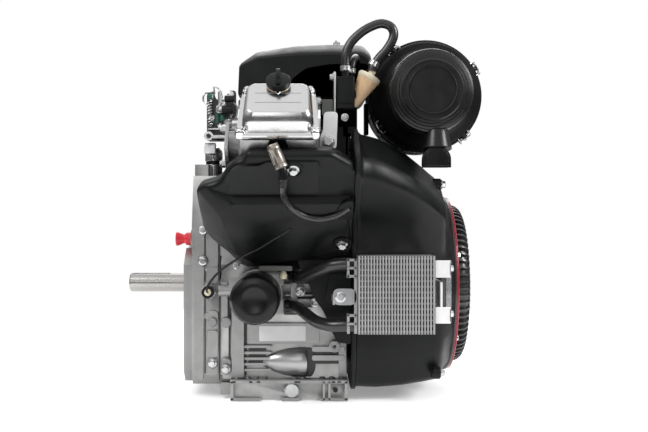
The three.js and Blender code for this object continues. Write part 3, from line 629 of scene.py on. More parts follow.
def make_cover_details():
    bolts = Shape()
    flange = Shape()
    joint_x = COVER_HIGH.x
    reach = 22
    for y, z in [(82, 44), (86, 120), (86, 190), (84, 246), (62, 305), (0, 320), (30, 27), (-30, 27),
                 (-62, 305), (-84, 246), (-86, 190), (-86, 120), (-82, 44)]:
        flange.rod((joint_x - reach, y, z), (joint_x - 0.5, y, z), 8.5, 24, 1.5)
        bolts.bolt((joint_x - reach, y, z), (-1, 0, 0), 4.6)
    for k in range(6):
        angle = math.pi * (k / 3 + 1 / 6)
        y, z = 70 * math.cos(angle), CRANK_Z + 0.75 * 70 * math.sin(angle)
        flange.rod((-157, y, z), (-148, y, z), 9, 24, 2)
    for z0, z1, depth in [(34, 60, 4), (60, 100, 6), (100, 128, 4), (168, 192, 5), (192, 246, 3)]:
        flange.plate([(-122, z0), (-104, z0), (-104, z1), (-119, z1)], 6, "Y", -92 - depth, -88)
    flange.plate([(-139, 30), (-126, 24), (-124, 246), (-139, 246)], 6, "Y", -94, -88)
    flange.rod((-104, -95, 158), (-70, -95, 158), 9.5, 28, 1)
    flange.rod((-126, -88, 201), (-126, -99, 201), 8, 24, 1.4)
    flange.rod((-126, -88, 246), (-126, -97, 246), 7, 24, 1.4)
    flange.rod((-147, -60, 232), (-140, -60, 232), 16, 32, 2)
    for x in (-112, -92):
        flange.rod((x, -88, 52), (x, -99, 52), 8, 24, 1.4)
        flange.rod((x, -88, 112), (x, -101, 112), 7, 24, 1.4)
    piece("cover_bosses", flange, "cast_aluminium", bevel=1.2)
    # Thin dark strips on the cover: painted shade standing for the grooves.
    groove_shade = Shape()
    for x, z0, z1 in [(-102, 26, 150), (-102, 172, 248), (-123.4, 36, 150), (-123.4, 170, 240)]:
        groove_shade.slab((x - 0.9, z0), (x + 0.9, z1), 0.8, "Y", -93.4, -91)
    piece("cover_groove_painted_shade", groove_shade, "black_rubber", bevel=0.2, material=SHADE_AND_DARK_STEEL)
    for x, z, depth in [(-126, 201, 99), (-126, 246, 97), (-92, 44, 103), (-112, 52, 99), (-76, 196, 112)]:
        bolts.bolt((x, -depth, z), (0, -1, 0), 4.2)
    piece("cover_bolts", bolts, "zinc_plate", bevel=0)


# ---------- output shaft and crank train ----------
SHAFT_RADIUS = 28.575 / 2
CRANK_THROW = 38                  # half of the stroke
WEB_RADIUS = 60
PIN_END_RADIUS = 24
GEAR_MODULE = 3
CRANK_GEAR_TEETH = 20


def make_shaft():
    shaft = Shape()
    shaft.turned([(3.5, 0), (12.6, 0), (SHAFT_RADIUS, 1.7), (SHAFT_RADIUS, 98), (20, 99), (20, 203),
                  (3.5, 203)],
                 (SHAFT_END, 0, CRANK_Z), (1, 0, 0), 64)
    shaft.rod((SHAFT_END + 25, 0, CRANK_Z), (SHAFT_END + 30, 0, CRANK_Z), 3.6)
    pin_z = CRANK_Z + CRANK_THROW
    half_turn = [math.pi * i / 24 for i in range(25)]
    web = [(WEB_RADIUS * math.cos(math.pi + angle), CRANK_Z + WEB_RADIUS * math.sin(math.pi + angle))
           for angle in half_turn]
    web += [(PIN_END_RADIUS * math.cos(angle), pin_z + PIN_END_RADIUS * math.sin(angle))
            for angle in half_turn[::2]]
    shaft.prism(web, "X", -48, -34)
    shaft.prism(web, "X", 40, 54)
    shaft.rod((-36, 0, pin_z), (42, 0, pin_z), 19, 40)
    shaft.rod((52, 0, CRANK_Z), (88, 0, CRANK_Z), 20, 40)
    shaft.rod((86, 0, CRANK_Z), (152, 0, CRANK_Z), 16, 40)
    shaft.prism(gear_outline(CRANK_GEAR_TEETH, CRANK_GEAR_TEETH * GEAR_MODULE / 2), "X", -98, -82)
    piece("output_shaft", shaft, "machined_steel", "crank_train", 0, ["crankshaft"])
    key = Shape()
    key.slab((SHAFT_END + 4, -3.1), (SHAFT_END + 62, 3.1), 2.5, "Z", CRANK_Z + 9,
             CRANK_Z + SHAFT_RADIUS + 0.4)
    piece("shaft_key", key, "machined_steel", "crank_train", 0.3)


def gear_outline(teeth, pitch_radius):
    outline = []
    step = 2 * math.pi / teeth
    for tooth in range(teeth):
        middle = math.pi / 2 + step * tooth
        for turn, radius in [(-0.30, -3.2), (-0.15, 2.2), (0.15, 2.2), (0.30, -3.2)]:
            angle = middle + turn * step
            outline.append(((pitch_radius + radius) * math.cos(angle),
                            CRANK_Z + (pitch_radius + radius) * math.sin(angle)))
    return outline


# ---------- cylinders ----------
def make_valve_cover(side):
    name = BANK_NAME[side]
    cover = Shape(bank_move(side))

    def ring(outer_x, half_y, taper, corner, h):
        """A rounded ring that narrows towards the valley."""
        points = []
        for x, y in rounded(outer_x, half_y, corner, 8):
            across = side * y
            points.append((x * (1 - taper * (1 - (across + half_y) / (2 * half_y))), y, h))
        return points

    flange = [(53.5, 46.5, 0.10, 9, 0), (54, 47, 0.10, 10, 1), (54, 47, 0.10, 10, 3.2),
              (53, 46, 0.10, 9, 3.6),
              (53, 46, 0.10, 9, 4.2), (54, 47, 0.10, 10, 4.6), (54, 47, 0.10, 10, 7.5),
              (52.5, 45.5, 0.10, 9, 8.6)]
    body = [(47.5, 40.5, 0.08, 14, 9), (46.8, 40, 0.07, 15, 12), (46, 39.5, 0.06, 15, 18),
            (44.5, 36.5, 0.05, 13, 24), (41.5, 32, 0.04, 11, 29), (40, 30, 0.03, 10, 30.8),
            (39, 29, 0.03, 9, 31.8), (38.2, 28.2, 0.03, 8, 32)]
    cover.loft([ring(*sizes[:4], HEAD_TOP + sizes[4]) for sizes in flange + body])
    piece(f"{name}_valve_cover_shell", cover, "bright_aluminium", bevel=0, replaces=[f"{name}_valve_cover"],
          angle=34)
    posts = Shape(bank_move(side))
    for x, y in [(-42, -side * 40), (42, -side * 40), (-48, side * 40.5), (48, side * 40.5)]:
        posts.turned([(0, 0), (7.4, 0), (6.8, 8), (6.2, 9.6), (5.4, 10.6), (0, 10.6)],
                     (x, y, HEAD_TOP + 2), (0, 0, 1), 28)
        posts.turned([(0, 10), (4.8, 10), (4.8, 13.4), (3.8, 14.6), (0, 14.6)], (x, y, HEAD_TOP + 2),
                     (0, 0, 1), 6)
        posts.rod((x, y, HEAD_TOP + 2), (x * 0.8, y * 0.74, HEAD_TOP + 8), 3.0, 16)
    piece(f"{name}_valve_cover_posts", posts, "bright_aluminium", bevel=0.5)
    lines = Shape(bank_move(side))
    top = HEAD_TOP + 32
    for y in (9, -10):
        lines.block((-30, -side * y - 0.45, top - 0.4), (30, -side * y + 0.45, top + 0.3))
    piece(f"{name}_valve_cover_ribs", lines, "cast_aluminium", bevel=0.12)


def make_filler_cap():
    cap = Shape(bank_move(-1))
    y = 26
    low = HEAD_TOP + 32.3
    rings = []
    for h, radius in [(0, 14.5), (0.4, 15.4), (2.4, 15.4), (2.8, 16.2), (7.6, 16.4), (8.8, 15.2),
                      (9.2, 13)]:
        ring = []
        for k in range(72):
            knurl = 0.4 if (k % 2 == 0 and 2.6 < h < 8) else 0
            angle = 2 * math.pi * k / 72
            ring.append(((radius - knurl) * math.cos(angle), y + (radius - knurl) * math.sin(angle),
                         low + h))
        rings.append(ring)
    cap.loft(rings)
    grip = soften([(y - 13, low + 8.5), (y + 13, low + 8.5), (y + 9, low + 21.4), (y - 7, low + 21.4)], 5)
    cap.prism(grip, "X", -2.6, 2.6)
    piece("oil_filler_cap_moulding", cap, "black_plastic", "oil_filler_cap_body", 0.5, ["oil_filler_cap"])
    seal = Shape(bank_move(-1))
    seal.ring(14.0, 15.6, -0.1, 0.9, (0, y, low - 0.8), (0, 0, 1))
    piece("filler_seal", seal, "amber_plastic", bevel=0)
    neck = Shape(bank_move(-1))
    neck.turned([(0, -9), (17.4, -9), (17.4, -2), (16.6, -0.9), (0, -0.9)], (0, y, low), (0, 0, 1), 64)
    neck.prism([(-3.2, y - 15), (3.2, y - 15), (0, y - 19.5)], "Z", low - 1.6, low + 0.4)
    piece("filler_neck", neck, "bright_aluminium", bevel=0.3)


def make_head_details(side):
    name = BANK_NAME[side]
    refined(f"{name}_cylinder_head", "cast_aluminium", bevel=0.9)
    studs = Shape(bank_move(side))
    for y in (-19, 19):
        studs.rod((-80, y, 283 + y * 0.75), (-70, y, 283 + y * 0.75), 3.6, 18)
        studs.turned([(0, 0), (6, 0), (6, 5), (0, 5)], (-77, y, 283 + y * 0.75), (1, 0, 0), 6)
    piece(f"{name}_exhaust_studs", studs, "zinc_plate", bevel=0.3)
    elbow = Shape(bank_move(side))
    elbow.pipe([(0, side * 43, 304), (-1, side * 48, 310), (-4, side * 54, 320), (-6, side * 55.6, 330)],
               7.4, 20)
    elbow.pipe([(5.2, side * 74.5, 314.5), (6.6, side * 78.5, 311), (7.4, side * 84, 305),
                (7.4, side * 88, 299.5),
                (7, side * 89.5, 295)], 5.6, 20)
    elbow.ring(5, 6.6, -1.6, 1.6, (7.4, side * 86.4, 302), (0, side * 0.45, -0.9), 24)
    piece(f"{name}_boot_rubber", elbow, "black_rubber", bevel=0)
    sleeve = Shape(bank_move(side))
    start, end = Vector((-7.5, side * 55.5, 335)), Vector((5.6, side * 76, 313))
    length = (end - start).length
    profile = [(0, 0), (7, 0), (7.6, 0.8), (7.6, 3), (8.3, 4), (8.3, 7), (7.9, 8), (7.9, length - 6),
               (8.5, length - 5), (8.5, length - 1), (6.4, length), (0, length)]
    sleeve.turned(profile, start, end - start, 36)
    for k in range(10):
        turn = 2 * math.pi * k / 10
        axis = (end - start).normalized()
        across = axis.orthogonal().normalized()
        out = across * math.cos(turn) + axis.cross(across) * math.sin(turn)
        sleeve.rod(start + axis * 9 + out * 7.5, end - axis * 7 + out * 7.5, 0.8, 8, 0.2)
    piece(f"{name}_boot_shield", sleeve, "machined_steel", bevel=0, replaces=[f"{name}_plug_boot"],
          material=SHIELD_MATERIAL)
    lead = Shape(bank_move(side))
    lead.pipe([(7, side * 89.6, 295), (6.6, side * 88, 283), (8, side * 83.5, 267), (15, side * 80, 247),
               (33, side * 79.5, 229.5), (55, side * 80.5, 224.5), (77, side * 80.5, 231),
               (94, side * 78, 243)], 4.4, 20)
    piece(f"{name}_lead_cable", lead, "black_rubber", bevel=0, replaces=[f"{name}_plug_lead"],
          material=LEAD_MATERIAL)


# ---------- shrouds ----------
def shroud_ring(side, seam, inset, y):
    """The shroud's outline, drawn in by an inset everywhere but at the seam."""
    outline = [(-40, 329), (-44, 317), (-55, 313), (-67, 300), (-74, 283), (-84, 275), (-103, 268),
               (-110, 258), (-110, 243), (-107, 192), (-100, 172), (-56, 106), (seam, 104), (seam, 306),
               (seam - 30, 329)]
    middle = Vector((-5, 215))
    points = []
    for x, h in soften(outline, 7, 4):
        away = Vector((x, h)) - middle
        shrunk = middle + away * (1 - inset / max(away.length, 1))
        lean = 0.64 * max(0, 60 - y) * min(1, max(0, (h - 195) / 55))
        sill = 104 + 16 * min(1, max(0, (60 - y) / 10))
        depth = y if h > 150 else max(y, 46)      # the lower edge stays outside the bore
        points.append((x if x > seam - 1 else shrunk.x, side * depth, max(sill, shrunk.y - lean)))
    return points


def shroud_bulge(side, seam):
    """The raised lower half, with a ledge above and a slanted facet on the left."""
    foot = [(-106, 262), (-96, 271), (-62, 256), (seam - 1, 256), (seam - 1, 112), (40, 108), (-50, 112),
            (-98, 176), (-105, 194)]
    crest = [(-80, 226), (-75, 236), (-62, 248), (seam - 6, 249), (seam - 6, 160), (30, 140), (-36, 130),
             (-62, 150), (-68, 172)]
    rings = []
    for part, y, size in [(0.0, 63, 4), (0.06, 66.5, 4), (0.9, 75.2, 6), (1.0, 76.2, 7), (1.04, 76.6, 7)]:
        outline = [Vector(a).lerp(Vector(b), part) for a, b in zip(foot, crest)]
        rings.append([(x, side * y, h) for x, h in soften(outline, size, 5)])
    return rings


def make_shroud(side):
    name = BANK_NAME[side]
    seam = HOUSING_LOW.x - BANK_X[side] - 0.5
    shell = Shape(bank_move(side))
    levels = [(0, 31), (0, 52), (1.5, 58), (5, 63), (9, 65.6), (13, 66.4), (13, 63), (8, 61), (4, 55),
              (3, 31)]
    shell.loft([shroud_ring(side, seam, inset, y) for inset, y in levels], ends=False, closed=True)
    shell.loft([shroud_ring(side, seam, 13, 64), shroud_ring(side, seam, 13, 66.4)])
    piece(f"{name}_shroud_shell", shell, "black_plastic", bevel=0, replaces=[f"{name}_cylinder_shroud"],
          angle=50)
    bulge = Shape(bank_move(side))
    bulge.loft(shroud_bulge(side, seam))
    piece(f"{name}_shroud_bulge", bulge, "black_plastic", bevel=0, angle=60)
    raised = Shape(bank_move(side))
    panel = [(-66, 262), (-62, 300), (-52, 309), (-22, 311), (-14, 317), (53, 317), (53, 262)]
    raised.loft([[(x, side * y, h) for x, h in soften(panel, 7 + grow, 5)]
                 for y, grow in [(65, 0), (68.6, 0), (69.6, 1)]])
    piece(f"{name}_shroud_panels", raised, "black_plastic", bevel=0, angle=60)
    bolts = Shape(bank_move(side))
    seats = Shape(bank_move(side))
    for x, h, y in [(20, 305, 69.6), (86, 172, 77)]:
        bolts.bolt((x, side * (y + 0.4), h), (0, side, 0), 5.2)
        seats.turned([(0, -8), (12.8, -8), (12.8, 1.4), (11.8, 2.4), (10, 2.4), (9.2, 0.4), (0, 0.4)],
                     (x, side * y, h), (0, side, 0), 40)
    piece(f"{name}_shroud_bolts", bolts, "zinc_plate", bevel=0)
    arch = [(78, 222), (seam - 1, 222), (seam - 1, 256), (90, 256), (82, 250), (78, 240)]
    seats.loft([[(x, side * y, h) for x, h in soften(arch, 5, 5)] for y in (72, 78.6, 79.2)])
    piece(f"{name}_shroud_bolt_seats", seats, "black_plastic", bevel=0.4)


# ---------- blower housing, ring and guard ----------
# Half outline: angle from straight down in degrees, radius at the seam, radius near the mouth.
HOUSING_RADII = [(0, 146, 143), (38, 187, 168), (59, 178, 160), (90, 152, 145), (108, 160, 148),
                 (121.4, 306, 202), (126, 318, 205), (141, 292, 190), (154, 243, 178), (180, 198, 162)]


def housing_ring(x, blend, shrink):
    """The housing's outline: seam shape at blend 0, mouth shape at 1."""
    half = [(math.radians(a), seam_r + (mouth_r - seam_r) * blend - shrink) for a, seam_r,
            mouth_r in HOUSING_RADII]
    outline = [(-r * math.sin(a), CRANK_Z - r * math.cos(a)) for a, r in half]
    outline += [(r * math.sin(a), CRANK_Z - r * math.cos(a)) for a, r in half[-2:0:-1]]
    return [(x, y, z) for y, z in soften(outline, 13, 6)]


def mouth_ring(x, radius):
    """The housing's round mouth, with a point for each point of the outline."""
    points = []
    for _, y, z in housing_ring(x, 1, 0):
        reach = radius / math.hypot(y, z - CRANK_Z)
        points.append((x, y * reach, CRANK_Z + (z - CRANK_Z) * reach))
    return points


def blended(first, second, amount):
    return [tuple(Vector(a).lerp(Vector(b), amount)) for a, b in zip(first, second)]


def make_housing():
    low = HOUSING_LOW.x
    shell = Shape()
    stations = [(low, 0, 3.5), (low + 1.5, 0, 1), (low + 6.5, 0, 1), (low + 8, 0.01, 4.5), (100, 0.05, 4.5),
                (112, 0.10, 3), (125, 0.16, 1.5), (145, 0.30, 0.5), (165, 0.44, 0), (190, 0.68, 0),
                (205, 0.86, 0), (213, 0.96, 0)]
    outer = [housing_ring(*station) for station in stations]
    shoulder = housing_ring(218, 1, 3)
    outer += [shoulder, blended(housing_ring(222, 1, 7), mouth_ring(222, 146), 0.35),
              blended(housing_ring(228, 1, 12), mouth_ring(228, 140), 0.75), mouth_ring(233, 135.5),
              mouth_ring(236, 133)]
    inner = [mouth_ring(233, 128), housing_ring(210, 1, 8)]
    inner += [housing_ring(x - 2, blend, shrink + 5) for x, blend, shrink in reversed(stations[4:-1])]
    inner.append(housing_ring(low, 0, 8))
    shell.loft(outer + inner, ends=False, closed=True)
    shell.ring(112, 134, 232.6, 236.2, (0, 0, CRANK_Z), (1, 0, 0), 96)
    piece("blower_housing_shell", shell, "black_plastic", bevel=0, replaces=["blower_housing"], angle=34)
    lugs = Shape()
    bolts = Shape()
    for y, z in [(-128, 312), (-122, 42), (128, 312), (122, 42)]:
        lugs.rod((204, y, z), (217, y, z), 8.5, 28, 1.5)
        lugs.rod((206, y * 0.92, z + (CRANK_Z - z) * 0.08), (214, y, z), 7, 28, 1.5)
        bolts.bolt((217, y, z), (1, 0, 0), 4.6)
    piece("housing_lugs", lugs, "black_plastic", bevel=0)
    piece("housing_bolts", bolts, "zinc_plate", bevel=0)
    panel = Shape()
    outline = soften([(31, 163), (38, 149), (50, 131), (67, 90), (88, 86), (88, 206), (12, 206), (17, 190),
                      (26, 176)], 6)
    panel.prism(outline, "Y", -148, -144)
    panel.plate([(50, 148), (87, 140), (87, 186), (58, 186)], 5, "Y", -156, -147)
    panel.rod((61, -148, 206), (88, -148, 206), 6)
    piece("lower_air_panel", panel, "black_plastic", bevel=1.2)


def make_guard():
    origin = (0, 0, CRANK_Z)
    ring = Shape()
    for along in (240.1, 241.9):
        ring.turned([(130.6 + 1.3 * math.cos(a), along + 1.1 * math.sin(a))
                     for a in (2 * math.pi * k / 12 for k in range(12))], origin, (1, 0, 0), 128)
    ring.ring(126, 130.9, 239.6, 242.4, origin, (1, 0, 0), 128)
    piece("red_trim", ring, "red_paint", bevel=0, replaces=["trim_ring"])
    guard = Shape()
    guard.ring(112, 133, HOUSING_HIGH.x + 0.4, 239.2, origin, (1, 0, 0), 96)
    guard.ring(113.5, 121, 239, 242.4, origin, (1, 0, 0), 96)
    guard.turned([(112, 239), (113.6, 239), (113.4, 250), (111, 256), (106.5, 259.4), (101, 260),
                  (101, 258.4), (106, 257.8), (109.6, 255), (112, 249.4)], origin, (1, 0, 0), 96)
    guard.ring(100, 103.4, 259, 263, origin, (1, 0, 0), 96)
    for radius in (30, 44, 58, 72, 86):
        guard.ring(radius - 1, radius + 1, 259.5, 262, origin, (1, 0, 0), 72)
    guard.turned([(0, 258.5), (24, 258.5), (26, 260), (24, 262.6), (0, 262.6)], origin, (1, 0, 0), 48)
    slats = 72
    arc = [(121, 241), (120.8, 249), (118.8, 255), (114.8, 259.6), (109, 262.4), (102, 263)]
    inside = [(102, 259.4), (106.8, 258.6), (110.4, 255.6), (112.8, 250), (113, 241)]
    for k in range(slats):
        turn = Matrix.Translation(origin) @ Matrix.Rotation(2 * math.pi * k / slats, 4, "X")
        outline = [(x, r) for r, x in arc + inside]
        guard.loft([[turn @ Vector((x, y, r)) for x, r in outline] for y in (-1.15, 1.15)])
    for k in range(12):
        turn = Matrix.Translation(origin) @ Matrix.Rotation(2 * math.pi * k / 12, 4, "X")
        spoke = [(259.8, -1.5), (262, -1.5), (262, 1.5), (259.8, 1.5)]
        guard.loft([[turn @ Vector((x, y, z)) for x, y in spoke] for z in (22, 102)])
    piece("guard_grille", guard, "black_plastic", bevel=0, replaces=["fan_guard"], material=LEAD_MATERIAL)
    screws = Shape()
    for k in range(6):
        angle = math.pi * (2 * k + 1) / 6 + 0.12
        out = Vector((0, math.cos(angle), math.sin(angle)))
        screws.bolt(Vector(origin) + out * 121.5 + Vector((243, 0, 0)), (0.4, *(out.yz * 0.9)), 3)
    piece("guard_screws", screws, "zinc_plate", bevel=0)


# ---------- oil system ----------
def make_oil_filter():
    body = Shape()
    body.turned([(0, -2.4), (14, -2.4), (15.5, -3.1), (18, -3.4), (25, -3.2), (30, -1.5), (33, 2.5),
                 (34, 8),
                 (34, 70), (33, 76), (34, 78), (34, 83), (32, 85), (0, 85)],
                (FILTER.x, FILTER_LOW.y + 3.4, FILTER.z), (0, 1, 0), 72)
    piece("oil_filter_can", body, "black_paint", bevel=0, replaces=["oil_filter"], angle=30)
    refined("oil_filter_adapter", "cast_aluminium", bevel=1.2)
    extra = Shape()
    extra.slab((-42, 190), (5, 197), 2.5, "Y", -150, -110)
    piece("heat_plate", extra, "black_plastic", bevel=0.8, material=GREY_MATERIAL)
    fitting = Shape()
    fitting.turned([(0, 0), (5.5, 0), (5.5, 6), (3, 12), (0, 12)], (-8, -138, 178), (0, 0, 1), 24)
    piece("cream_plug", fitting, "amber_plastic", bevel=0.3, material=TAN_MATERIAL)
    bolts = Shape()
    bosses = Shape()
    for x, z in [(16, 158), (38, 142)]:
        bosses.rod((x, -91, z), (x, -117, z), 7.6, 24, 1)
        bolts.bolt((x, -117, z), (0, -1, 0), 4)
    for z0, z1 in [(150, 153), (144, 147), (132, 135), (165, 169)]:
        bosses.slab((-6, z0), (34, z1), 1.2, "Y", -104, -91)
    bosses.slab((2, 134), (12, 170), 4, "Y", -108, -91)
    piece("adapter_bosses", bosses, "cast_aluminium", bevel=0.8)
    piece("adapter_bolts", bolts, "zinc_plate", bevel=0)
    # Dark plates on the adapter: painted shade for its recesses.
    recess_shade = Shape()
    recess_shade.plate([(-8, 122), (36, 122), (30, 130), (-8, 130)], 2, "Y", -94.6, -91)
    recess_shade.slab((14, 146), (32, 150), 1.6, "Y", -94.6, -91)
    piece("adapter_recess_painted_shade", recess_shade, "cast_aluminium", bevel=0.3, material=SHADE_AND_DARK_STEEL)


def make_cooler():
    low, high = COOLER_LOW, COOLER_HIGH
    tubes = Shape()
    rows = 14
    pitch = (high.z - low.z) / rows
    for row in range(rows):
        z = low.z + pitch * (row + 0.5)
        tubes.block((low.x + 1, low.y + 0.9, z - 1.0), (high.x - 1, high.y, z + 1.0))
    for x in (low.x, high.x - 2.4):
        tubes.block((x, low.y + 2, low.z), (x + 2.4, high.y, high.z))
    for z in (low.z, high.z - 2):
        tubes.block((low.x, low.y + 3, z), (high.x, high.y, z + 2))
    piece("cooler_tubes", tubes, "cooler_aluminium", bevel=0.4, replaces=["oil_cooler"],
          material=TUBE_MATERIAL)
    # A near-black block inside the cooler: painted shade between the tubes and fins.
    backing_shade = Shape()
    backing_shade.block((low.x + 1, low.y + 3, low.z + 1), (high.x - 1, high.y - 3, high.z - 1))
    piece("cooler_painted_shade_backing", backing_shade, "cooler_aluminium", bevel=0, material=PAINTED_SHADOW_MATERIAL)
    fins = Shape()
    count = 26
    for k in range(count):
        x = low.x + 2 + (high.x - low.x - 4) * k / (count - 1)
        wave = 0.25 * math.sin(1.7 * k)
        fins.prism(soften([(x - 1.1, low.y + wave + 0.3), (x + 1.1, low.y + wave + 0.3),
                           (x + 0.9, high.y - 2),
                           (x - 0.9, high.y - 2)], 0.3, 2), "Z", low.z + 0.4, high.z - 0.4)
    piece("cooler_fins", fins, "cooler_aluminium", bevel=0, material=FIN_MATERIAL)
    bracket = Shape()
    for z0, z1, gap in [(186, 211, 0), (111, 137, 1)]:
        middle = (z0 + z1) / 2
        bars = [(79, 92, z0, z0 + 3.4), (79, 92, z1 - 3.4, z1), (88.5, 92.5, z0, z1),
                (79, 82.6, middle + 3, z1),
                (79, 82.6, z0, middle - 3), (79, 92, middle - 1.6, middle + 1.6)]
        for x0, x1, a, b in bars[gap:]:
            bracket.block((x0, -218, a), (x1, -214.5, b))
        bracket.block((79, -216, z0), (82, -206, z1))
    bracket.block((88.5, -217, 111), (92.7, -214, 211))
    tab = soften([(60, 149), (92, 149), (92, 171), (60, 171)], 10, 6)
    bracket.prism(tab, "Y", -217, -213.5)
    bracket.block((60, -214, 149), (63, NEAR_WALL, 158))
    piece("cooler_left_bracket", bracket, "cooler_aluminium", bevel=0.4, replaces=["cooler_bracket_left"])
    right = Shape()
    for z0, z1 in [(186, 209), (125, 147)]:
        right.slab((196.3, z0), (217, z1), 1.5, "Y", -222, -219.5)
        right.block((215, -222, z0 + 2), (217, -190, z1 - 2))
    # The inner band takes the recess-shade material: painted shade on one of two like zinc bands.
    for place, x, y, finish in [("inner", 204, -218.5, SHADE_AND_DARK_STEEL), ("outer", 211, -219.4, None)]:
        band = Shape().block((x, y, 146), (x + 7, y + 2, 187))
        piece(f"cooler_bracket_{place}_band", band, "zinc_plate", bevel=0.2, material=finish)
    right.block((203, -221, 145), (206, -154, 180))
    piece("cooler_right_bracket", right, "zinc_plate", bevel=0.5, replaces=["cooler_bracket_right"],
          material=PLATE_MATERIAL)
    bolts = Shape()
    bolts.bolt((70, -217, 160), (0, -1, 0), 5)
    for z in (197, 136):
        bolts.bolt((217, -205, z), (1, 0, 0), 4.2)
    piece("cooler_bolts", bolts, "zinc_plate", bevel=0)


def make_hoses():
    upper = [(-7.2, -119, 179), (1, -119, 179), (12, -127, 180), (22, -146, 182), (38, -172, 191),
             (58, -194, 200), (76, -201, 203), (84, -201, 203), (92.4, -201, 203)]
    lower = [(-7.2, -114, 137), (1, -114, 137), (12, -124, 136), (22, -146, 131), (38, -172, 122),
             (58, -194, 119), (76, -201, 120), (84, -201, 120), (92.4, -201, 120)]
    for name, points in [("upper", upper), ("lower", lower)]:
        hose = Shape()
        hose.pipe(points, 8.4, 32)
        piece(f"{name}_oil_hose", hose, "black_rubber", bevel=0, replaces=[f"{name}_cooler_hose"],
              material=LEAD_MATERIAL)
        clamps = Shape()
        clamps.clamp((-2.5, points[0][1], points[0][2]), (1, 0, 0), 8.6, 6)
        piece(f"{name}_hose_clamps", clamps, "black_paint", bevel=0)


def make_switch():
    switch = Shape()
    low, high = box_mm("oil_pressure_switch")
    x, z = (low.x + high.x) / 2, (low.z + high.z) / 2
    switch.turned([(0, 2), (5, 2), (6, 0.8), (8.2, 0.8), (9, 2), (9, 15), (7, 18), (0, 18)],
                  (x, low.y, z), (0, 1, 0), 40)
    piece("pressure_switch_cap", switch, "black_rubber", bevel=0)
    nut = Shape()
    nut.turned([(0, 17), (11, 17), (11, 28), (7, 29), (7, 37.5), (0, 37.5)], (x, low.y, z), (0, 1, 0), 6)
    piece("pressure_switch_body", nut, "zinc_plate", bevel=0.5, replaces=["oil_pressure_switch"])
    pin = Shape()
    pin.turned([(0, 0), (4.4, 0), (5, 0.8), (5, 4), (0, 4)], (x, low.y + 0.5, z), (0, 1, 0), 28)
    piece("pressure_switch_pin", pin, "amber_plastic", bevel=0, material=TAN_MATERIAL)
    wire = Shape()
    wire.pipe([(-116, -131, 158.5), (-116, -142, 163), (-110, -146, 175), (-93, -152, 193),
               (-63, -172, 212),
               (-40, -191, 223), (-18, -207, 237), (4, -219, 251)], 1.6, 14)
    piece("switch_lead", wire, "black_rubber", bevel=0, replaces=["switch_wire"])


def make_small_plugs():
    drain = Shape()
    low, high = box_mm("drain_plug")
    x, z = (low.x + high.x) / 2, (low.z + high.z) / 2
    drain.turned([(0, 0), (9.4, 0), (10.6, 1.5), (10.6, 5), (11, 5), (11, 8.5), (6, 8.5), (6, 28), (0, 28)],
                 (x, low.y, z), (0, 1, 0), 48)
    piece("drain_bolt", drain, "zinc_plate", bevel=0.3, replaces=["drain_plug"])
    red = Shape()
    red.turned([(0, 0.5), (9.6, 0), (10.5, 1), (10.2, 4), (6.6, 12), (6.8, 13), (9.5, 16), (9.5, 26.5),
                (7, 26.8),
                (7, 33), (0, 33)], (-170, -60, 232), (1, 0, 0), 40)
    piece("red_transit_plug", red, "red_plastic", bevel=0.3, replaces=["transit_plug"])
    cap = Shape()
    low, high = box_mm("valley_breather")
    x, y = (low.x + high.x) / 2, (low.y + high.y) / 2
    cap.turned([(0, 24), (13.4, 24), (13.5, 36), (12.4, 40), (9, 44.5), (4, 46.4), (0, 46.7)],
               (x, y, low.z),
               (0, 0, 1), 48)
    cap.turned([(0, 0), (13, 0), (13, 18.6), (0, 18.6)], (x, y, low.z), (0, 0, 1), 48)
    piece("breather_cap", cap, "bright_aluminium", bevel=0.5, replaces=["valley_breather"])
    band = Shape()
    band.turned([(0, 18), (12, 18), (12.4, 21), (12, 24.5), (0, 24.5)], (x, y, low.z), (0, 0, 1), 48)
    piece("breather_seal", band, "black_rubber", bevel=0)
    seal = Shape()
    seal.turned([(14.6, 0.5), (18, 0), (20, 1.2), (24, 0.6), (28, 0.6), (28, 6.6), (14.6, 6.6)],
                (OUTPUT_FACE + 1, 0, CRANK_Z), (1, 0, 0), 64)
    piece("shaft_lip_seal", seal, "black_rubber", bevel=0, replaces=["output_shaft_seal"])


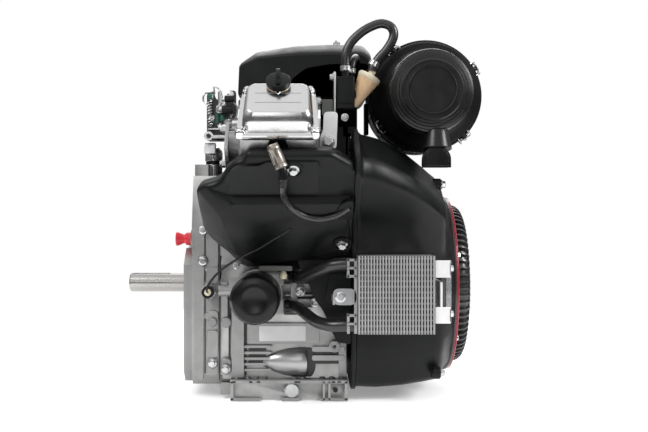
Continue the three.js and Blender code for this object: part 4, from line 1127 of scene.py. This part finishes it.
# ---------- air cleaner ----------
def make_air_cleaner():
    x, z = CANISTER.x, CANISTER.z
    front = COVER_FRONT
    cover = Shape()
    steps = [(41.4, 2.6), (42.2, 4), (45, 4.6), (46, 6.4), (49.5, 7.2), (50.4, 9.4), (53.4, 10.4),
             (54.2, 12.6),
             (56.5, 13.6), (57.2, 15.4)]
    cover.turned([(0, 1.4), (30.8, 1.4), (31.4, 0.2), (32.3, 0), (33.2, 1.6), (38.8, 2.0),
                  (40.6, 1.8)] + steps
                 + [(58, 22), (58.6, 34), (54, 36), (0, 36)], (x, front, z), (0, 1, 0), 128)
    skirt = Shape()
    skirt.turned([(56, 33), (58.9, 33), (59.6, 42), (62, 54), (66, 62), (73, 67), (76, 71), (76.6, 78),
                  (79.6, 80.4),
                  (80.3, 83), (80.4, 90.5), (56, 90.5)], (x, front, z), (0, 1, 0), 128)
    piece("cleaner_cover_skirt", skirt, "black_plastic", bevel=0, angle=32, material=MATT_MATERIAL)
    piece("cleaner_cover_moulding", cover, "black_plastic", bevel=0, replaces=["air_cleaner_cover"],
          angle=32,
          material=CUP_MATERIAL)
    body = Shape()
    body.turned([(70, 0), (80, 0), (80.4, 1), (80.4, 5), (77, 7), (74, 9), (73, 11), (73, 128), (67, 178),
                 (62, 184), (30, 184), (30, 181), (60, 180), (63, 176), (70, 126), (70, 5)],
                (x, front + 91, z), (0, 1, 0), 128)
    for along in (30, 42, 54, 66):
        body.ring(72.6, 74, along - 2, along + 2, (x, front + 91, z), (0, 1, 0), 96)
    piece("cleaner_canister", body, "black_plastic", bevel=0, replaces=["air_cleaner_body"], angle=28,
          material=MATT_MATERIAL)
    make_cleaner_clips(Vector((x, front, z)))
    ejector = Shape()
    ex = 201.5
    ejector.turned([(0, 0), (15.5, 0), (16.4, 3), (17.6, 12), (19.5, 22), (20, 26), (0, 26)],
                   (ex + 2, -182, 384), (0, -0.18, -1), 40)
    arch = [(ex - 18, 334), (ex + 18, 334)]
    arch += [(ex + 18 * math.cos(math.pi * k / 16), 345 + 17 * math.sin(math.pi * k / 16))
             for k in range(17)]
    ejector.prism(arch, "Y", -199, -174)
    lip = [(ex + (px - ex) * 1.05, 347 + (pz - 347) * 1.05) for px, pz in arch]
    ejector.prism(lip, "Y", -201.5, -198)
    inset = [(ex + (px - ex) * 0.88, 347 + (pz - 347) * 0.88) for px, pz in arch]
    ejector.prism(inset, "Y", -203, -200)
    piece("ejector_boot", ejector, "black_rubber", bevel=0.9, replaces=["dust_ejector"])
    strap = Shape()
    for y in (-5, 9):
        strap.ring(73.4, 78, y - 2.4, y + 2.4, (x, 0, z), (0, 1, 0), 96)
    strap.ring(73.4, 75, -8, 12, (x, 0, z), (0, 1, 0), 96)
    bracket = Shape()
    bracket.block((115, -8, 392), (121.5, 12, 440))
    piece("canister_bracket", bracket, "zinc_plate", bevel=0.3, material=MATT_MATERIAL)
    piece("canister_band", strap, "zinc_plate", bevel=0.3, replaces=["canister_strap"])


def make_cleaner_clips(front_centre):
    """Four wire bails that hold the cover on the canister, each on a small pad."""
    wires = Shape()
    pads = Shape()
    back = Vector((0, 1, 0))
    for degrees in (126, 29, -47, 215):
        angle = math.radians(degrees)
        out = Vector((math.cos(angle), 0, math.sin(angle)))
        side = Vector((-math.sin(angle), 0, math.cos(angle)))
        base = front_centre + back * 88
        for sign in (-1, 1):
            wires.pipe([base + out * 76 + side * sign * 9 - back * 13,
                        base + out * 81.5 + side * sign * 9 - back * 9,
                        base + out * 84.5 + side * sign * 8 + back * 2,
                        base + out * 80 + side * sign * 6 + back * 14],
                       1.3, 10)
        wires.pipe([base + out * 80.8 + side * 9 - back * 9, base + out * 83 - back * 12,
                    base + out * 80.8 - side * 9 - back * 9], 1.3, 10)
        pads.pipe([base + out * 73 - back * 14, base + out * 79 - back * 11, base + out * 82.6 - back * 2],
                  3.4, 12)
    piece("cleaner_clips", wires, "machined_steel", bevel=0)
    piece("clip_pads", pads, "black_plastic", bevel=0)


# ---------- intake, controls and top cover ----------
def make_top_cover():
    low, high = box_mm("top_cover")
    hood = [(-79, 446), (-77, 499), (-50, 518), (10, 527), (62, 529), (110, 528), (122, 517), (125, 503),
            (125, 470), (118, 446)]
    shell = Shape()
    middle = Vector((22, low.z))

    def level(y, drop, shrink):
        points = []
        for x, z in soften(hood, 6, 4):
            top = max(0, (z - 480) / (high.z - 480))
            points.append((middle.x + (x - middle.x) * shrink, y, z - drop * top))
        return points

    stations = [(low.y, 21, 0.965), (low.y + 1.5, 18.5, 0.98), (low.y + 5, 15, 0.99),
                (low.y + 30, 2.5, 1.0),
                (low.y + 38, 0, 1.0), (high.y - 30, 0, 1.0), (high.y - 8, 6, 0.985), (high.y - 2, 12, 0.96),
                (high.y, 16, 0.94)]
    shell.loft([level(*station) for station in stations])
    shell.block((46, low.y + 0.5, 345), (87, low.y + 4, 450))
    shell.block((80, low.y + 0.5, 385), (101, low.y + 4, 450))
    shell.block((84, low.y + 0.5, 350), (91, low.y + 4, 390))
    piece("top_cover_shell", shell, "black_plastic", bevel=0, replaces=["top_cover"], angle=24)
    # Near-black sheets in the cover's opening and over the skirt: painted shadow of the dark inside.
    mouth_shadow = Shape()
    arch = [(1, 446), (1, 470), (24, 488), (60, 494), (118, 495), (120, 470), (114, 446)]
    mouth_shadow.prism(soften(arch, 8, 5), "Y", low.y, low.y + 2)
    mouth_shadow.prism([(46, 400), (100, 400), (100, 450), (46, 450)], "Y", low.y, low.y + 2)
    piece("top_cover_mouth_shadow", mouth_shadow, "black_plastic", bevel=0.2, material=PAINTED_SHADOW_MATERIAL)
    nut = Shape()
    nut.bolt((72, -8, high.z - 0.4), (0, 0, 1), 5)
    nut.rod((72, -8, high.z + 3), (72, -8, high.z + 9), 2.6)
    piece("top_cover_nut", nut, "zinc_plate", bevel=0)


def make_controls():
    bracket = Shape()
    bracket.plate([(-124, 380), (-80, 380), (-80, 454), (-92, 454), (-96, 440), (-110, 440),
                          (-114, 454),
                          (-124, 450)], 5, "Y", -62, -59.5)
    bracket.block((-124, -62, 380), (-80, -20, 382.5))
    bracket.block((-96, -62, 326.4), (-80, 9, 329))
    bracket.block((-90, -62, 327), (-87.5, -30, 383))
    bracket.block((-96, 6, 327), (-84, 9, 352))
    piece("control_plate", bracket, "machined_steel", bevel=0.6, replaces=["control_bracket"],
          material=SHADE_AND_DARK_STEEL)
    parts = Shape()
    parts.spring((-118, -68, 400), (-119, -68, 438), 3.4, 0.8, 9)
    parts.spring((-97, -69, 388), (-86, -69, 418), 2.8, 0.7, 8)
    parts.spring((-108, -67, 428), (-92, -67, 446), 2.2, 0.6, 7)
    parts.rod((-122, -66, 396), (-86, -66, 396), 1.8, 12)
    parts.rod((-114, -72, 384), (-66, -72, 384), 3.0, 16)
    parts.ring(3.2, 7, -2, 2, (-120, -72, 385), (0, 1, 0), 28)
    parts.pipe([(-112, -66, 448), (-112, -72, 458), (-104, -72, 454), (-100, -68, 442)], 1.3, 10)
    parts.pipe([(-122, -70, 430), (-128, -72, 438), (-126, -72, 448), (-116, -70, 450)], 1.3, 10)
    parts.pipe([(-88, -70, 404), (-80, -72, 412), (-78, -72, 428), (-86, -70, 436)], 1.5, 10)
    for x, z in [(-118, 444), (-88, 448), (-90, 404), (-116, 412), (-104, 400), (-100, 434)]:
        parts.bolt((x, -62, z), (0, -1, 0), 3.4)
    parts.rod((-126, -68, 366), (-110, -68, 366), 9.5, 6, 0.8)
    piece("governor_links", parts, "zinc_plate", bevel=0)
    arms = Shape()
    arms.plate([(-98, 398), (-72, 404), (-72, 414), (-98, 410)], 3, "Y", -68, -66)
    arms.plate([(-76, 424), (-50, 428), (-50, 442), (-76, 438)], 3, "Y", -78, -75)
    arms.ring(4, 8, -2, 2, (-68, -76, 434), (0, 1, 0), 28)
    arms.rod((-62, -74, 402), (-84, -66, 402), 11, 28, 2)
    piece("governor_arms", arms, "cast_aluminium", bevel=0.5)
    green = Shape()
    green.rod((-122, -70, 444), (-116, -70, 444), 4.6, 6)
    green.rod((-100, -70, 408), (-100, -70, 416), 3.4, 20)
    green.slab((-111, 404), (-106, 424), 2, "Y", -66, -63)
    piece("governor_adjusters", green, "black_plastic", bevel=0.3, material=GREEN_MATERIAL)
    dark = Shape()
    dark.rod((-100, -77, 424), (-84, -77, 424), 6, 24)
    dark.rod((-96, -77, 440), (-82, -77, 440), 5, 24)
    dark.block((-112, -66, 386), (-90, -63, 400))
    piece("governor_dark_parts", dark, "black_rubber", bevel=0.4)
    for lever in ("throttle_lever", "governor_arm", "choke_lever"):
        refined(lever, "zinc_plate", f"{lever}_body", 0.5)
    refined("carburettor", "cast_aluminium", bevel=2)
    refined("intake_manifold", "cast_aluminium", bevel=1)
    carb = Shape()
    carb.rod((-26, 0, 418), (-60, 0, 418), 20, 32, 3)
    carb.rod((-70, -44, 402), (-26, -30, 402), 8, 24, 1.5)
    piece("carburettor_body", carb, "cast_aluminium", bevel=1)


# ---------- fuel system ----------
def make_fuel_system():
    pump = Shape()
    low = box_mm("fuel_pump")[0]
    pump.slab((low.x, -167), (92, -136), 4, "Z", 417, 461)
    pump.slab((low.x + 2, -168.5), (90, -165), 1, "Z", 424, 454)
    pump.rod((90, -150, 436), (95.5, -150, 436), 11.5, 32, 1.5)
    pump.rod((80, -150, 460), (80, -150, 469), 5.5, 24)
    pump.rod((88, -146, 460), (88, -146, 466), 4.5, 24)
    piece("fuel_pump_body", pump, "black_plastic", bevel=0.9, replaces=["fuel_pump"])
    plate = Shape()
    plate.slab((-168, 384), (-130, 468), 5, "X", 63, 65.6)
    plate.slab((42, -170), (66, -142), 6, "Z", 384, 386.6)
    foot = Shape()
    foot.prism(soften([(43, 357), (65, 357), (67, 408), (48, 408), (47, 382), (43, 376)], 6, 6), "Y", -208,
               -205)
    foot.block((62, -206, 384), (65, -168, 406))
    piece("pump_foot", foot, "zinc_plate", bevel=0.5, material=PLATE_MATERIAL)
    piece("pump_plate", plate, "zinc_plate", bevel=0.5, replaces=["fuel_pump_bracket"])
    bolts = Shape()
    bolts.bolt((54, -208, 368), (0, -1, 0), 6.4)
    bolts.bolt((41.7, -148, 428.7), (0, -1, 0), 3.4)
    bolts.rod((41.7, -148, 428.7), (41.7, -130, 428.7), 3)
    bolts.bolt((63, -150, 462), (-1, 0, 0), 4)
    bolts.bolt((78, -170, 404), (0, -1, 0), 3.6)
    piece("pump_bolts", bolts, "zinc_plate", bevel=0)
    block = Shape()
    block.slab((47, 410), (62, 431), 1.5, "Y", -150, -130)
    piece("grey_sensor", block, "black_plastic", bevel=0.6, material=GREY_MATERIAL)
    filt = Shape()
    axis = Vector((-0.5, 0, -0.87)).normalized()
    top = Vector((115, -152, 465))
    filt.turned([(0, 8), (15.6, 8), (15, 10), (7.8, 44), (5, 50), (0, 50)], top, axis, 48)
    piece("fuel_filter_bowl", filt, "amber_plastic", bevel=0, replaces=["fuel_filter"], angle=30)
    rim = Shape()
    rim.turned([(0, -8), (5, -8), (5, 0), (15.4, 1), (16.6, 2.4), (16.6, 6), (15.8, 7.8), (0, 7.8)], top,
               axis, 48)
    piece("fuel_filter_rim", rim, "amber_plastic", bevel=0.2, material=TAN_MATERIAL)
    hose = Shape()
    hose.pipe([(80, -150, 469.3), (80, -150, 492), (87, -150, 510), (102, -151, 525), (118, -152, 534),
               (131, -153, 537), (142, -154, 533), (147, -154, 524), (145, -154, 513), (137, -153, 500),
               (127, -152, 489), (119, -152, 477), (117, -152, 470)], 6.5, 28)
    piece("fuel_hose_loop", hose, "black_rubber", bevel=0, replaces=["fuel_hose"], material=LEAD_MATERIAL)
    short = Shape()
    short.pipe([(88, -146, 466), (89, -146, 478), (92, -140, 488), (96, -120, 494), (100, -80, 492)], 5, 20)
    piece("fuel_hose_short", short, "black_rubber", bevel=0)
    clamps = Shape()
    for at, axis, radius, width in [((80, -150, 474), (0, 0, 1), 6.7, 7),
                                    ((88, -146, 471), (0, 0, 1), 5.2, 6),
                                    ((120, -152, 480), (0.5, 0, 0.85), 6.7, 7)]:
        clamps.clamp(at, axis, radius, width)
    piece("fuel_clamps", clamps, "zinc_plate", bevel=0)


# ---------- starter ----------
def make_starter():
    low, high = box_mm("starter_motor")
    y, z = (low.y + high.y) / 2, (low.z + high.z) / 2
    motor = Shape()
    motor.turned([(0, 0), (22, 0), (26, 2), (30, 5), (32, 8), (32, 22), (31, 23), (31, 26), (32, 27),
                  (32, 112),
                  (31, 113), (31, 117), (32, 118), (31, 124), (26, 130), (26, 134), (5, 134), (5, 168),
                  (0, 168)], (low.x, y, z), (1, 0, 0), 64)
    piece("starter_body", motor, "black_paint", bevel=0, replaces=["starter_motor"], angle=30)


# ---------- everything else keeps its CAD shape ----------
def finish_cad_nodes():
    slots = {entry["node"]: entry["material_slot"] for entry in frame["record"]["subparts"]}
    for node, item in frame["nodes"].items():
        material = FINISHES[slots[node]]
        item.data.materials.clear()
        item.data.materials.append(material)


make_stage()
finish_cad_nodes()
make_crankcase()
make_cover_details()
make_shaft()
for bank_side in (-1, 1):
    make_valve_cover(bank_side)
    make_head_details(bank_side)
    make_shroud(bank_side)
make_filler_cap()
make_housing()
make_guard()
make_oil_filter()
make_cooler()
make_hoses()
make_switch()
make_small_plugs()
make_air_cleaner()
make_top_cover()
make_controls()
make_fuel_system()
make_starter()
